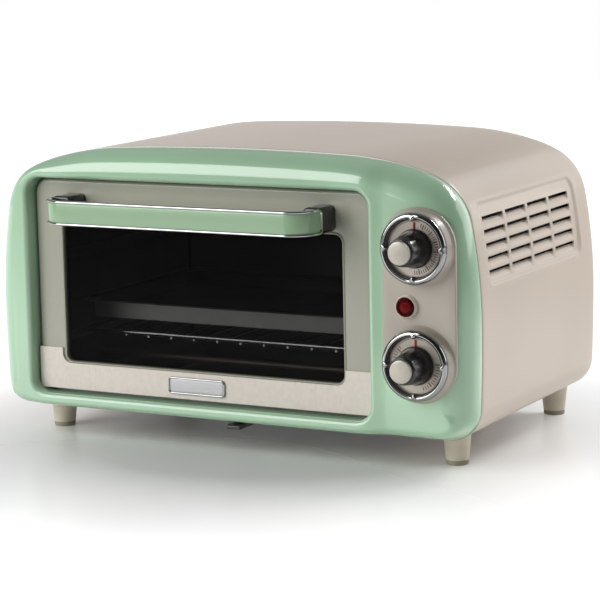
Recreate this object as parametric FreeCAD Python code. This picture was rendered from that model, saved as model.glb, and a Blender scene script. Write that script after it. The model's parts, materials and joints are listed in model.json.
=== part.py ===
"""Compact counter-top toaster oven: drop-down door, two dial controls, wrap-round steel casing.

Millimetres.  X runs to the right as the door is faced, Y runs to the back, Z is up.
Depths are worked out from a datum in the front face of the door's lower plate, heights from a level
datum a little below the feet.  save() moves every piece into the part's frame, whose origin is the
centre of the bounding box's bottom face.
"""
import FreeCAD
import Part
import math
import os

V = FreeCAD.Vector

# ---- driving dimensions -------------------------------------------------------------------
FOOT_BOTTOM = 1.5           # level datum to the table
HEIGHT = 218.0              # level datum to the crown of the casing
UNDERSIDE = 22.8            # level datum to the flat bottom of the body
SHEET = 1.2                 # casing, base and rear sheet
LINER_SHEET = 0.8
MOULDING = 2.5              # wall of the moulded front
RUN_FIT = 0.05              # radial clearance of a turning shaft in its bore

# Half of the body's outline, crown to side, as tangent arcs: (radius, heading in degrees at its end)
CROWN_TO_SIDE = [(2200.0, 2.4), (230.0, 15.0), (113.0, 25.0), (41.3, 79.0), (375.0, 90.0), (1330.0, 92.4)]

# depths from the door datum
HANDLE_FRONT = -40.0
FASCIA_FRONT = -9.0
SEAM = 17.5                 # joint between the moulded front and the casing
SEAM_GAP = 0.3              # each side of the joint
CASING_BACK = 225.0
GLAND_BACK = 231.0
TO_FRAME = V(0, -(HANDLE_FRONT + GLAND_BACK) / 2, -FOOT_BOTTOM)

# door, seen from the front
DOOR_LEFT, DOOR_RIGHT = -157.9, 115.7
DOOR_BOTTOM, DOOR_TOP = 38.2, 192.9
DOOR_CORNER = 11.0
FRAME_FRONT, DOOR_BACK = 1.5, 8.0
WINDOW = (-134.4, 93.5, 58.9, 162.6)
WINDOW_CORNER = 6.0
GLASS_THICK = 3.2
PLATE_TOP = 68.5
PLATE_CUT = (-138.0, 95.0, 57.4)
PLATE_CUT_CORNER = 7.0
DOOR_GAP = 1.5
LIP_TOP = 35.4              # top of the moulded front below the door
HINGE_Y, HINGE_Z, PIN_RADIUS = 4.4, 41.9, 1.7

# controls
KNOB_X, TIMER_Z, THERMOSTAT_Z = 154.8, 158.2, 78.7
STRIP_FRONT, STRIP_RADIUS, STRIP_THICK = -6.0, 27.3, 1.0
CUP_RADIUS, CUP_RIM_RADIUS, CUP_FRONT = 26.8, 24.2, -14.5
DIAL_RADIUS = 19.4
DIAL_SEAT = -11.5
BEZEL_FRONT = -17.2
SHAFT_RADIUS = 3.0
GRIP_BACK, GRIP_FRONT, CAP_FRONT = -13.5, -34.5, -38.0
GRIP_BASE_RADIUS, GRIP_TIP_RADIUS, CAP_RADIUS = 12.75, 9.25, 8.0
LAMP_X, LAMP_Z, LENS_RADIUS, LAMP_BEZEL_RADIUS = 146.0, 117.5, 6.7, 8.2

# cooking space
CAVITY = (-154.0, 112.0, 40.0, 190.0)
CAVITY_FRONT, CAVITY_BACK = 10.3, 214.0
FLOOR_HOLE = (-133.0, 91.0, 38.0, 199.0)
RACK_LEFT, RACK_RIGHT, RACK_Y0, RACK_Y1 = -149.0, 107.0, 40.5, 204.0
TRAY_Y0 = 38.0
RACK_Z, RACK_WIRE, RACK_BAR = 75.0, 1.5, 1.0
TRAY_RIM_Z, TRAY_DEPTH, TRAY_RIM, TRAY_SHEET = 97.6, 12.5, 8.0, 0.9
LEDGES = [73.1, 96.3, 130.0]
HEATER_RADIUS = 3.5
UPPER_HEATERS = [(80.0, 181.0), (150.0, 181.0)]
LOWER_HEATERS = [(78.0, 51.0), (150.0, 51.0)]
SHIELD_X = 121.0

# handle
HANDLE_FLAT = (-110.5, 68.0)
HANDLE_BEND, HANDLE_THICK, HANDLE_END_Y = 19.5, 3.0, -17.0
HANDLE_BOTTOM, HANDLE_TOP, TRIM_HEIGHT, TRIM_PROUD = 164.9, 182.8, 2.2, 0.6
HANDLE_MIDDLE = (HANDLE_BOTTOM + HANDLE_TOP) / 2
HANDLE_SCREWS = (HANDLE_FLAT[0] - 6.0, HANDLE_FLAT[1] + 6.0)

# feet
FOOT_X, FOOT_YS = 162.5, (36.0, 213.0)
FOOT_TOP_RADIUS, FOOT_TIP_RADIUS, PAD_RADIUS, PAD_HEIGHT = 10.3, 8.1, 7.9, 3.5

# crumb tray, in rails under the base
CRUMB_X0, CRUMB_X1, CRUMB_Y0, CRUMB_Y1 = -141.0, 99.0, 34.0, 210.0
CRUMB_FLOOR, CRUMB_TOP, CRUMB_SHEET = 18.3, 22.3, 0.8
CRUMB_TAB = (-1.0, 9.0, 1.0)
CRUMB_RAIL_Y0, CRUMB_RAIL_LOW = 48.0, 16.4


# ---- small helpers ------------------------------------------------------------------------
def box(x0, x1, y0, y1, z0, z1):
    return Part.makeBox(x1 - x0, y1 - y0, z1 - z0, V(x0, y0, z0))


def rod_y(x, z, radius, y0, y1):
    return Part.makeCylinder(radius, y1 - y0, V(x, y0, z), V(0, 1, 0))


def rod_x(y, z, radius, x0, x1):
    return Part.makeCylinder(radius, x1 - x0, V(x0, y, z), V(1, 0, 0))


def rod_z(x, y, radius, z0, z1):
    return Part.makeCylinder(radius, z1 - z0, V(x, y, z0), V(0, 0, 1))


def tube_y(x, z, outer, inner, y0, y1):
    return rod_y(x, z, outer, y0, y1).cut(rod_y(x, z, inner, y0 - 1, y1 + 1))


def union(shapes):
    shapes = list(shapes)
    return shapes[0].fuse(shapes[1:]).removeSplitter() if len(shapes) > 1 else shapes[0]


def group(shapes):
    return Part.makeCompound(list(shapes))


def turned_y(x, z, profile):
    """A solid of revolution about the Y line through (x, z); profile is (radius, y) points."""
    points = [V(x + radius, y, z) for radius, y in profile]
    face = Part.Face(Part.makePolygon(points + points[:1]))
    return face.revolve(V(x, 0, z), V(0, 1, 0), 360)


def rounded_face(x0, x1, z0, z1, y, low_radius, high_radius):
    """Upright rectangle with one radius for the two bottom corners and one for the two top ones."""
    edges = []
    corners = [(x1, z0, -1, 1, low_radius, 270), (x1, z1, -1, -1, high_radius, 0),
               (x0, z1, 1, -1, high_radius, 90), (x0, z0, 1, 1, low_radius, 180)]
    last = None
    first = None
    for cx, cz, sx, sz, radius, start in corners:
        centre = V(cx + sx * radius, y, cz + sz * radius)
        points = []
        for turn in (0, 45, 90):
            angle = math.radians(start + turn)
            points.append(centre + V(radius * math.cos(angle), 0, radius * math.sin(angle)))
        if last is not None:
            edges.append(Part.makeLine(last, points[0]))
        first = first or points[0]
        edges.append(Part.Arc(*points).toShape())
        last = points[2]
    edges.append(Part.makeLine(last, first))
    return Part.Face(Part.Wire(edges))


def rounded_block(x0, x1, z0, z1, y0, y1, low_radius, high_radius=None):
    high_radius = low_radius if high_radius is None else high_radius
    return rounded_face(x0, x1, z0, z1, y0, low_radius, high_radius).extrude(V(0, y1 - y0, 0))


def fillet_where(shape, radius, keep):
    """Rounds the edges whose bounding box passes the test."""
    return shape.makeFillet(radius, [edge for edge in shape.Edges if keep(edge.BoundBox)])


# ---- the body's outline -------------------------------------------------------------------
def outline_arcs(inset):
    """Right half of the outline as (start, middle, end) points (x, z), crown to bottom."""
    arcs = []
    x, z, heading = 0.0, HEIGHT - inset, 0.0
    for radius, end in CROWN_TO_SIDE:
        arcs.append(arc_points(x, z, radius - inset, heading, end))
        x, z = arcs[-1][2]
        heading = end
    corner = (z - UNDERSIDE - inset) / (1 + math.cos(math.radians(heading)))
    arcs.append(arc_points(x, z, corner, heading, 180.0))
    return arcs


def arc_points(x, z, radius, start, end):
    """Start, middle and end of an arc that leaves (x, z) at a heading below the level."""
    centre_x = x - radius * math.sin(math.radians(start))
    centre_z = z - radius * math.cos(math.radians(start))
    points = []
    for heading in (start, (start + end) / 2, end):
        angle = math.radians(heading)
        points.append((centre_x + radius * math.sin(angle), centre_z + radius * math.cos(angle)))
    return points


def outline_block(inset, y0, y1):
    right = outline_arcs(inset)
    edges = [Part.Arc(*[V(x, y0, z) for x, z in arc]).toShape() for arc in right]
    edges.append(Part.makeLine(V(right[-1][2][0], y0, right[-1][2][1]),
                               V(-right[-1][2][0], y0, right[-1][2][1])))
    edges += [Part.Arc(*[V(-x, y0, z) for x, z in reversed(arc)]).toShape() for arc in reversed(right)]
    return Part.Face(Part.Wire(edges)).extrude(V(0, y1 - y0, 0))


def side_of_outline(z, inset=0.0):
    """Where the outline's side stands at a height, and its outward slope angle above the level."""
    x, low, heading = 0.0, HEIGHT - inset, 0.0
    for radius, end in CROWN_TO_SIDE:
        radius -= inset
        centre_x = x - radius * math.sin(math.radians(heading))
        centre_z = low - radius * math.cos(math.radians(heading))
        end_z = centre_z + radius * math.cos(math.radians(end))
        if z >= end_z:
            reach = math.sqrt(radius ** 2 - (z - centre_z) ** 2)
            return centre_x + reach, math.degrees(math.asin((z - centre_z) / radius))
        x, low, heading = centre_x + radius * math.sin(math.radians(end)), end_z, end
    raise ValueError("height below the side")


# ---- casing -------------------------------------------------------------------------------
LOUVRE_ROWS, LOUVRE_PITCH, LOUVRE_TOP = 5, 9.2, 174.8
LOUVRE_COLUMNS, LOUVRE_Y0, LOUVRE_LENGTH, LOUVRE_STEP = 4, 37.5, 35.5, 39.5
LOUVRE_SLOT = 3.0
FLANGE_INNER_X = 152.0
REAR_FLANGE = 9.0


def outer_casing():
    y0 = SEAM + SEAM_GAP
    shell = outline_block(0, y0, CASING_BACK)
    shell = shell.cut(outline_block(SHEET, y0 - 1, CASING_BACK - SHEET))
    shell = shell.cut(outline_block(REAR_FLANGE, CASING_BACK - 2 * SHEET, CASING_BACK + 1))
    bottom_gap = box(-FLANGE_INNER_X, FLANGE_INNER_X, y0 - 1, CASING_BACK + 1,
                     UNDERSIDE - 1, UNDERSIDE + REAR_FLANGE)
    shell = shell.cut(bottom_gap)
    slots, flaps = [], []
    for row in range(LOUVRE_ROWS):
        z = LOUVRE_TOP - row * LOUVRE_PITCH
        wall_x, slope = side_of_outline(z)
        for column in range(LOUVRE_COLUMNS):
            y = LOUVRE_Y0 + column * LOUVRE_STEP
            slots.append(box(wall_x - 8, wall_x + 6, y, y + LOUVRE_LENGTH, z - LOUVRE_SLOT / 2, z + LOUVRE_SLOT / 2))
            flaps.append(louvre_flap(z, y))
    shell = shell.cut(slots)
    shell = shell.fuse(flaps).removeSplitter()
    for y in FOOT_YS:
        shell = shell.cut([rod_z(side * FOOT_X, y, SCREW_RADIUS, 0, 40) for side in (-1, 1)])
    return shell.cut([rod_y(x, z, REAR_SCREW_RADIUS, CASING_BACK - 5, CASING_BACK + 5) for x, z in REAR_SCREWS])


def louvre_flap(z, y):
    """Tongue of the sheet bent inwards below its slot, leaning away from the wall."""
    foot = z - LOUVRE_SLOT / 2 - 0.6
    wall_x, _ = side_of_outline(foot, SHEET)
    flap = box(0, 4.2, 0.4, LOUVRE_LENGTH - 0.4, 0, 0.7)
    flap.rotate(V(0, 0, 0), V(0, 1, 0), -130)
    flap.translate(V(wall_x + 0.5, y, foot))
    return flap


REAR_SCREWS = [(-150.0, 196.5), (0.0, 213.0), (150.0, 196.5), (-181.0, 60.0), (181.0, 60.0)]
REAR_SCREW_RADIUS = 1.75
SCREW_RADIUS = 2.0
SCREW_HEAD, SCREW_HEAD_Z = 3.9, 10.0


def base_pan():
    inner_x = 166.0
    pan = box(-inner_x, inner_x, SEAM + 1, CASING_BACK - SHEET - 0.1, UNDERSIDE + SHEET, UNDERSIDE + 2 * SHEET)
    x0, x1, y0, y1 = FLOOR_HOLE
    pan = pan.cut(box(x0, x1, y0, y1, 0, 40))
    for y in FOOT_YS:
        pan = pan.cut([rod_z(side * FOOT_X, y, SCREW_RADIUS, 0, 40) for side in (-1, 1)])
    vents = [box(130 + 7 * i, 133 + 7 * i, 60, 110, 0, 40) for i in range(3)]
    return pan.cut(vents)


GLAND_X, GLAND_Z, GLAND_BORE, GLAND_BODY, GLAND_FLANGE = 150.0, 46.0, 3.6, 6.5, 9.5


def rear_panel():
    inset = 3.0
    panel = outline_block(inset, CASING_BACK, CASING_BACK + SHEET)
    holes = [rod_y(x, z, REAR_SCREW_RADIUS, CASING_BACK - 5, CASING_BACK + 5) for x, z in REAR_SCREWS]
    holes.append(rod_y(GLAND_X, GLAND_Z, GLAND_BODY, CASING_BACK - 5, CASING_BACK + 5))
    for row in range(6):
        z = 90.0 + row * 12.0
        for x in (-110.0, -60.0, -10.0, 40.0, 125.0):
            holes.append(rounded_block(x, x + 34, z, z + 4, CASING_BACK - 2, CASING_BACK + 4, 1.9))
    return panel.cut(holes)


def rear_screws():
    screws = []
    back = CASING_BACK + SHEET
    for x, z in REAR_SCREWS:
        head = turned_y(x, z, [(0, back), (3.4, back), (3.4, back + 0.9), (2.2, back + 2.0), (0, back + 2.2)])
        shank = rod_y(x, z, REAR_SCREW_RADIUS, CASING_BACK - 9, back)
        slot = box(x - 2.4, x + 2.4, back + 1.2, back + 3, z - 0.4, z + 0.4)
        cross = box(x - 0.4, x + 0.4, back + 1.2, back + 3, z - 2.4, z + 2.4)
        screws.append(head.fuse(shank).cut([slot, cross]))
    return group(screws)


def cable_gland():
    back = CASING_BACK + SHEET
    inside = CASING_BACK - 0.2
    profile = [(GLAND_BORE, inside - 4), (GLAND_BODY + 1.2, inside - 4), (GLAND_BODY + 1.2, inside),
               (GLAND_BODY, inside), (GLAND_BODY, back), (GLAND_FLANGE, back), (GLAND_FLANGE, back + 1.6),
               (GLAND_BODY, GLAND_BACK), (GLAND_BORE, GLAND_BACK)]
    return turned_y(GLAND_X, GLAND_Z, profile)


def terminal_block():
    floor = UNDERSIDE + 2 * SHEET
    block = box(GLAND_X - 18, GLAND_X + 14, 188, 202, floor, floor + 13)
    screws = [rod_z(GLAND_X - 13 + 9 * i, 195, 2.6, floor + 9, floor + 14) for i in range(3)]
    ways = [rod_y(GLAND_X - 13 + 9 * i, floor + 5, 1.8, 187, 203) for i in range(3)]
    return block.cut(screws + ways)


# ---- moulded front ------------------------------------------------------------------------
FASCIA_EDGE, OPENING_EDGE, OPENING_CORNER = 19.0, 3.5, 13.0
SLEEVE_BACK = 9.3
TONGUE_INSET, TONGUE_BACK = 1.5, 26.0


def rounded_front(inset, front, back, edge):
    block = outline_block(inset, front, back)
    return fillet_where(block, edge, lambda b: b.YMax < front + 0.01)


def door_opening(grow, y0, y1):
    return rounded_block(DOOR_LEFT - DOOR_GAP - grow, DOOR_RIGHT + DOOR_GAP + grow, LIP_TOP - grow,
                         DOOR_TOP + DOOR_GAP + grow, y0, y1, 2.0 + grow, OPENING_CORNER + grow)


def pill(radius, y0, y1):
    """Upright strip with round ends on the two control axes."""
    middle = box(KNOB_X - radius, KNOB_X + radius, y0, y1, THERMOSTAT_Z, TIMER_Z)
    return union([middle, rod_y(KNOB_X, TIMER_Z, radius, y0, y1), rod_y(KNOB_X, THERMOSTAT_Z, radius, y0, y1)])


def front_fascia():
    outer = rounded_front(0, FASCIA_FRONT, SEAM - SEAM_GAP, FASCIA_EDGE)
    inner = rounded_front(MOULDING, FASCIA_FRONT + MOULDING, TONGUE_BACK + 1, FASCIA_EDGE - MOULDING)
    inner = inner.cut(door_opening(MOULDING, FASCIA_FRONT, SLEEVE_BACK))
    pad_back = STRIP_FRONT + STRIP_THICK + MOULDING
    inner = inner.cut(pill(STRIP_RADIUS + 2.0, FASCIA_FRONT, pad_back))
    opening = door_opening(0, FASCIA_FRONT - 5, SLEEVE_BACK + 5)
    tongue = outline_block(TONGUE_INSET, SEAM - 3, TONGUE_BACK)
    tongue = tongue.cut([outline_block(MOULDING + 0.2, SEAM - 4, TONGUE_BACK + 1),
                         box(-170, 170, SEAM - SEAM_GAP, TONGUE_BACK + 1, 0, UNDERSIDE + 3 * SHEET)])
    fascia = outer.cut(opening)
    fascia = fillet_where(fascia, OPENING_EDGE, on_opening_rim)
    fascia = fascia.cut(inner).fuse(tongue).removeSplitter()
    holes = [pill(STRIP_RADIUS + 0.2, FASCIA_FRONT - 5, STRIP_FRONT + STRIP_THICK)]
    for z in (TIMER_Z, THERMOSTAT_Z):
        holes.append(rod_y(KNOB_X, z, BUSH_RADIUS + 0.3, FASCIA_FRONT, 10))
    holes.append(rod_y(LAMP_X, LAMP_Z, LAMP_BODY_RADIUS + 0.3, FASCIA_FRONT, 10))
    for x in (DOOR_LEFT, DOOR_RIGHT):
        holes.append(rod_x(HINGE_Y, HINGE_Z, PIN_RADIUS + 0.6, x - 8, x + 8))
    return fascia.cut(holes)


def on_opening_rim(b):
    inside = b.XMin > DOOR_LEFT - 4 and b.XMax < DOOR_RIGHT + 4
    return b.YMax < FASCIA_FRONT + 2 and inside and b.ZMin > LIP_TOP - 2 and b.ZMax < DOOR_TOP + 4


# ---- controls -----------------------------------------------------------------------------
BUSH_RADIUS, LAMP_BODY_RADIUS = 4.5, 5.5
LAMP_FRONT = -9.8


def control_strip():
    strip = pill(STRIP_RADIUS, STRIP_FRONT, STRIP_FRONT + STRIP_THICK)
    for z in (TIMER_Z, THERMOSTAT_Z):
        strip = strip.fuse(dial_cup(z))
    holes = [rod_y(KNOB_X, z, BUSH_RADIUS + 0.3, -40, 10) for z in (TIMER_Z, THERMOSTAT_Z)]
    holes.append(rod_y(LAMP_X, LAMP_Z, LAMP_BODY_RADIUS + 0.3, -40, 10))
    return strip.cut(holes).removeSplitter()


def dial_cup(z):
    """Raised cup that carries a dial and its ring, hollow behind."""
    wall = 1.5
    back = STRIP_FRONT + STRIP_THICK
    seat = DIAL_SEAT
    outside = [(BUSH_RADIUS, seat), (DIAL_RADIUS + 0.6, seat), (DIAL_RADIUS + 0.6, CUP_FRONT),
               (CUP_RIM_RADIUS, CUP_FRONT), (CUP_RIM_RADIUS + 1.6, CUP_FRONT + 1.2),
               (CUP_RADIUS, STRIP_FRONT - 3.5), (CUP_RADIUS, back)]
    inside = [(CUP_RADIUS - wall, back), (CUP_RADIUS - wall, STRIP_FRONT - 3.0),
              (CUP_RIM_RADIUS - 0.4, seat + 0.6), (DIAL_RADIUS, seat + wall), (BUSH_RADIUS, seat + wall)]
    return turned_y(KNOB_X, z, outside + inside)


def bezel(z):
    """Bright ring over the cup's rim, with four claws that hold the dial."""
    inner, outer = DIAL_RADIUS - 0.4, CUP_RIM_RADIUS - 0.2
    ring = turned_y(KNOB_X, z, [(inner, CUP_FRONT), (outer, CUP_FRONT), (outer, CUP_FRONT - 1.0),
                                (outer - 1.2, BEZEL_FRONT), (inner + 1.0, BEZEL_FRONT), (inner, BEZEL_FRONT + 1.0)])
    claws = []
    for turn in range(4):
        claw = box(KNOB_X - 1.6, KNOB_X + 1.6, CUP_FRONT - 2.0, CUP_FRONT - 0.2, z + inner - 2.2, z + inner + 1.0)
        claw.rotate(V(KNOB_X, 0, z), V(0, 1, 0), 90 * turn)
        claws.append(claw)
    return ring.fuse(claws).removeSplitter()


def dial(z):
    return tube_y(KNOB_X, z, DIAL_RADIUS, BUSH_RADIUS + 0.5, DIAL_SEAT - 1.2, DIAL_SEAT)


def control_body(z, half, depth, extra):
    """Case of a rotary control with its threaded bush; the bore takes the turning shaft."""
    front = STRIP_FRONT + STRIP_THICK + MOULDING
    case = box(KNOB_X - half, KNOB_X + half, front, front + depth, z - half, z + half)
    case = fillet_where(case, 3.0, lambda b: b.YLength > depth - 1)
    body = union([case, rod_y(KNOB_X, z, BUSH_RADIUS, DIAL_SEAT - 0.4, front)] + extra(front + depth, z))
    return body.cut(rod_y(KNOB_X, z, SHAFT_RADIUS + RUN_FIT, DIAL_SEAT - 5, SHAFT_BACK + 0.5))


SHAFT_BACK = 16.0


def timer_mechanism():
    def bell(back, z):
        return [turned_y(KNOB_X, z, [(0, back), (17, back), (15.5, back + 5), (10, back + 8.5), (0, back + 9.5)])]
    return control_body(TIMER_Z, 18.5, 28.0, bell)


def thermostat():
    def contacts(back, z):
        return [box(KNOB_X + dx - 3.2, KNOB_X + dx + 3.2, back, back + 9, z - 0.4, z + 0.4) for dx in (-9, 9)]
    return control_body(THERMOSTAT_Z, 15.0, 20.0, contacts)


def shaft(z):
    return rod_y(KNOB_X, z, SHAFT_RADIUS, GRIP_FRONT + 3, SHAFT_BACK)


def knob_grip(z):
    body = turned_y(KNOB_X, z, [(SHAFT_RADIUS + 2.0, GRIP_BACK), (GRIP_BASE_RADIUS, GRIP_BACK),
                                (GRIP_BASE_RADIUS, GRIP_BACK - 2.5), (GRIP_BASE_RADIUS - 0.9, GRIP_BACK - 4.0),
                                (GRIP_TIP_RADIUS, GRIP_FRONT), (0, GRIP_FRONT), (0, GRIP_FRONT + 3),
                                (SHAFT_RADIUS, GRIP_FRONT + 3), (SHAFT_RADIUS, GRIP_BACK - 1.0),
                                (SHAFT_RADIUS + 2.0, GRIP_BACK - 1.0)])
    flutes = []
    for index in range(12):
        angle = math.radians(30 * index)
        reach = GRIP_BASE_RADIUS + 1.9
        tip = GRIP_TIP_RADIUS + 2.1
        start = V(KNOB_X + reach * math.sin(angle), GRIP_BACK - 4.0, z + reach * math.cos(angle))
        end = V(KNOB_X + tip * math.sin(angle), GRIP_FRONT - 1.0, z + tip * math.cos(angle))
        flutes.append(Part.makeCylinder(2.6, (end - start).Length, start, end - start))
    return body.cut(flutes)


def knob_cap(z):
    crown = GRIP_FRONT - 1.4
    return turned_y(KNOB_X, z, [(0, GRIP_FRONT), (CAP_RADIUS, GRIP_FRONT), (CAP_RADIUS, crown),
                                (CAP_RADIUS - 1.2, crown - 1.2), (CAP_RADIUS - 4, CAP_FRONT + 0.3), (0, CAP_FRONT)])


def knob_pointer(z):
    return box(KNOB_X - 0.6, KNOB_X + 0.6, GRIP_BACK - 0.8, GRIP_BACK, z + GRIP_BASE_RADIUS, z + DIAL_RADIUS - 2.6)


def indicator_bezel():
    back, front = STRIP_FRONT, LAMP_FRONT
    return turned_y(LAMP_X, LAMP_Z, [(LAMP_BODY_RADIUS, back), (LAMP_BEZEL_RADIUS, back),
                                     (LAMP_BEZEL_RADIUS, front + 0.9), (LAMP_BEZEL_RADIUS - 0.9, front),
                                     (LENS_RADIUS, front), (LENS_RADIUS, front + 1.2),
                                     (LAMP_BODY_RADIUS, front + 1.2)])


def indicator_lens():
    back = LAMP_FRONT + 1.2
    return turned_y(LAMP_X, LAMP_Z, [(0, back), (LENS_RADIUS, back), (LENS_RADIUS, back - 1.8),
                                     (LENS_RADIUS * 0.72, back - 3.2), (0, back - 3.6)])


def indicator_lamp():
    front = LAMP_FRONT + 1.2
    return turned_y(LAMP_X, LAMP_Z, [(0, front), (LAMP_BODY_RADIUS, front), (LAMP_BODY_RADIUS, 12),
                                     (2, 12), (2, 20), (0, 20)])


# ---- cooking space ------------------------------------------------------------------------
def cavity_liner():
    x0, x1, z0, z1 = CAVITY
    t = LINER_SHEET
    shell = box(x0 - t, x1 + t, CAVITY_FRONT, CAVITY_BACK + t, z0 - t, z1 + t)
    shell = shell.cut(box(x0, x1, CAVITY_FRONT - 1, CAVITY_BACK, z0, z1))
    fx0, fx1, fy0, fy1 = FLOOR_HOLE
    pan_top = UNDERSIDE + 2 * SHEET
    chute = box(fx0 - t, fx1 + t, fy0 - t, fy1 + t, pan_top, z0)
    shell = shell.fuse(chute).cut(box(fx0, fx1, fy0, fy1, pan_top - 1, z0 + 1)).removeSplitter()
    return shell.cut([rod_x(y, z, HEATER_RADIUS, x0 - 5, x1 + 5) for y, z in UPPER_HEATERS + LOWER_HEATERS])


def cavity_front_frame():
    y0 = CAVITY_FRONT - LINER_SHEET
    frame = rounded_block(DOOR_LEFT - 14, DOOR_RIGHT + 14, 30.5, 197.5, y0, CAVITY_FRONT, 4.0, 28.0)
    x0, x1, z0, z1 = CAVITY
    return frame.cut(box(x0, x1, y0 - 1, CAVITY_FRONT + 1, z0, z1))


def shelf_rail(side):
    """Side plate with three ledges, fixed to one wall of the liner."""
    x0, x1, z0, z1 = CAVITY
    wall = x0 if side < 0 else x1
    plate_t, ledge = 0.8, 8.0

    def across(near, far, ya, yb, za, zb):
        a, b = wall - side * near, wall - side * far
        return box(min(a, b), max(a, b), ya, yb, za, zb)
    pieces = [across(0, plate_t, 24, 208, LEDGES[0] - 6, LEDGES[2] + 6)]
    for z in LEDGES:
        pieces.append(across(0, ledge, 24, 208, z - 1.0, z))
    return union(pieces)


def heaters(places):
    x0, x1 = CAVITY[0], CAVITY[1]
    rods = []
    for y, z in places:
        rods.append(union([rod_x(y, z, HEATER_RADIUS, x0 - 5, x1 + 5), rod_x(y, z, 1.2, x0 - 11, x0 - 5),
                           rod_x(y, z, 1.2, x1 + 5, x1 + 7.6)]))
    return group(rods)


def heater_insulators():
    x0, x1 = CAVITY[0] - LINER_SHEET, CAVITY[1] + LINER_SHEET
    sleeves = []
    for y, z in UPPER_HEATERS + LOWER_HEATERS:
        for a, b in ((x0 - 4.2, x0), (x1, x1 + 4.2)):
            sleeves.append(rod_x(y, z, 6.5, a, b).cut(rod_x(y, z, HEATER_RADIUS, a - 1, b + 1)))
    return group(sleeves)


def heat_shield():
    return box(SHIELD_X, SHIELD_X + LINER_SHEET, TONGUE_BACK + 1, CASING_BACK - 4, UNDERSIDE + 2 * SHEET, 188)


def wire_loop(x0, x1, y0, y1, z, radius, bend):
    """Closed rectangle of round wire with bent corners."""
    corners = [(x1, y0, 270), (x1, y1, 0), (x0, y1, 90), (x0, y0, 180)]
    edges, last, first = [], None, None
    for cx, cy, start in corners:
        centre = V(cx + (bend if cx == x0 else -bend), cy + (bend if cy == y0 else -bend), z)
        points = []
        for turn in (0, 45, 90):
            angle = math.radians(start + turn)
            points.append(centre + V(bend * math.cos(angle), bend * math.sin(angle), 0))
        if last is not None:
            edges.append(Part.makeLine(last, points[0]))
        first = first or points[0]
        edges.append(Part.Arc(*points).toShape())
        last = points[2]
    edges.append(Part.makeLine(last, first))
    outer = Part.Wire(edges)
    section = Part.Wire(Part.makeCircle(radius, V(x1, (y0 + y1) / 2, z), V(0, 1, 0)))
    start_edges = [Part.makeLine(V(x1, (y0 + y1) / 2, z), edges[1].Vertexes[-1].Point)]
    path = start_edges + edges[2:] + [edges[0], Part.makeLine(edges[0].Vertexes[-1].Point, V(x1, (y0 + y1) / 2, z))]
    return Part.Wire(path).makePipeShell([section], True, True) if outer.isClosed() else None


RACK_BARS = 12


def wire_rack():
    centre = RACK_WIRE
    x0, x1 = RACK_LEFT + centre, RACK_RIGHT - centre
    y0, y1 = RACK_Y0 + centre, RACK_Y1 - centre
    pieces = [wire_loop(x0, x1, y0, y1, RACK_Z, RACK_WIRE, 7.0)]
    bar_z = RACK_Z - RACK_WIRE - RACK_BAR + 0.4
    pitch = (x1 - x0) / (RACK_BARS + 1)
    for index in range(1, RACK_BARS + 1):
        pieces.append(rod_y(x0 + index * pitch, bar_z, RACK_BAR, y0 - 1.0, y1 + 1.0))
    pieces.append(rod_x((y0 + y1) / 2, RACK_Z, RACK_WIRE, x0, x1))
    return union(pieces)


def baking_tray():
    t, top = TRAY_SHEET, TRAY_RIM_Z
    x0, x1, y0, y1 = RACK_LEFT, RACK_RIGHT, TRAY_Y0, RACK_Y1
    rim = plan_block(x0, x1, y0, y1, top - t, top, 9.0)
    inset = TRAY_RIM
    well = plan_block(x0 + inset, x1 - inset, y0 + inset - 3, y1 - inset, top - TRAY_DEPTH, top - t, 10.0)
    hollow = plan_block(x0 + inset + t, x1 - inset - t, y0 + inset - 3 + t, y1 - inset - t,
                        top - TRAY_DEPTH + t, top + 1, 10.0 - t)
    return rim.fuse(well).cut(hollow).removeSplitter()


def plan_block(x0, x1, y0, y1, z0, z1, corner):
    """Level rounded plate."""
    block = box(x0, x1, y0, y1, z0, z1)
    return fillet_where(block, corner, lambda b: b.ZLength > (z1 - z0) * 0.9 and b.XLength < 0.01)


# ---- door ---------------------------------------------------------------------------------
def door_frame():
    t, edge = 1.0, 2.2
    block = rounded_block(DOOR_LEFT, DOOR_RIGHT, DOOR_BOTTOM, DOOR_TOP, FRAME_FRONT, DOOR_BACK, 0.8, DOOR_CORNER)
    block = fillet_where(block, edge, front_rim_above_plate)
    pocket = rounded_block(DOOR_LEFT + t, DOOR_RIGHT - t, DOOR_BOTTOM + t, DOOR_TOP - t,
                           FRAME_FRONT + t, DOOR_BACK + 1, 0.8, DOOR_CORNER - t)
    x0, x1, z0, z1 = WINDOW
    window = rounded_block(x0, x1, z0, z1, -5, 20, WINDOW_CORNER)
    pins = [rod_x(HINGE_Y, HINGE_Z, PIN_RADIUS, x - 3, x + 3) for x in (DOOR_LEFT, DOOR_RIGHT)]
    screws = [rod_y(x, HANDLE_MIDDLE, SCREW_RADIUS, -5, 20) for x in HANDLE_SCREWS]
    return block.cut(pocket).cut([window] + pins + screws)


def front_rim_above_plate(b):
    return b.YMax < FRAME_FRONT + 0.01 and b.ZMax > PLATE_TOP


def door_glass():
    x0, x1, z0, z1 = WINDOW
    lap = 5.5
    y0 = FRAME_FRONT + 1.0
    return rounded_block(x0 - lap, x1 + lap, z0 - lap, z1 + lap, y0, y0 + GLASS_THICK, 4.0)


def glass_retainer():
    x0, x1, z0, z1 = WINDOW
    y0 = FRAME_FRONT + 1.0 + GLASS_THICK
    ring = rounded_block(DOOR_LEFT + 1.2, DOOR_RIGHT - 1.2, 48.0, DOOR_TOP - 1.2, y0, y0 + 0.8, 1.0, DOOR_CORNER - 1.2)
    return ring.cut(rounded_block(x0, x1, z0, z1, -5, 20, WINDOW_CORNER))


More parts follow.
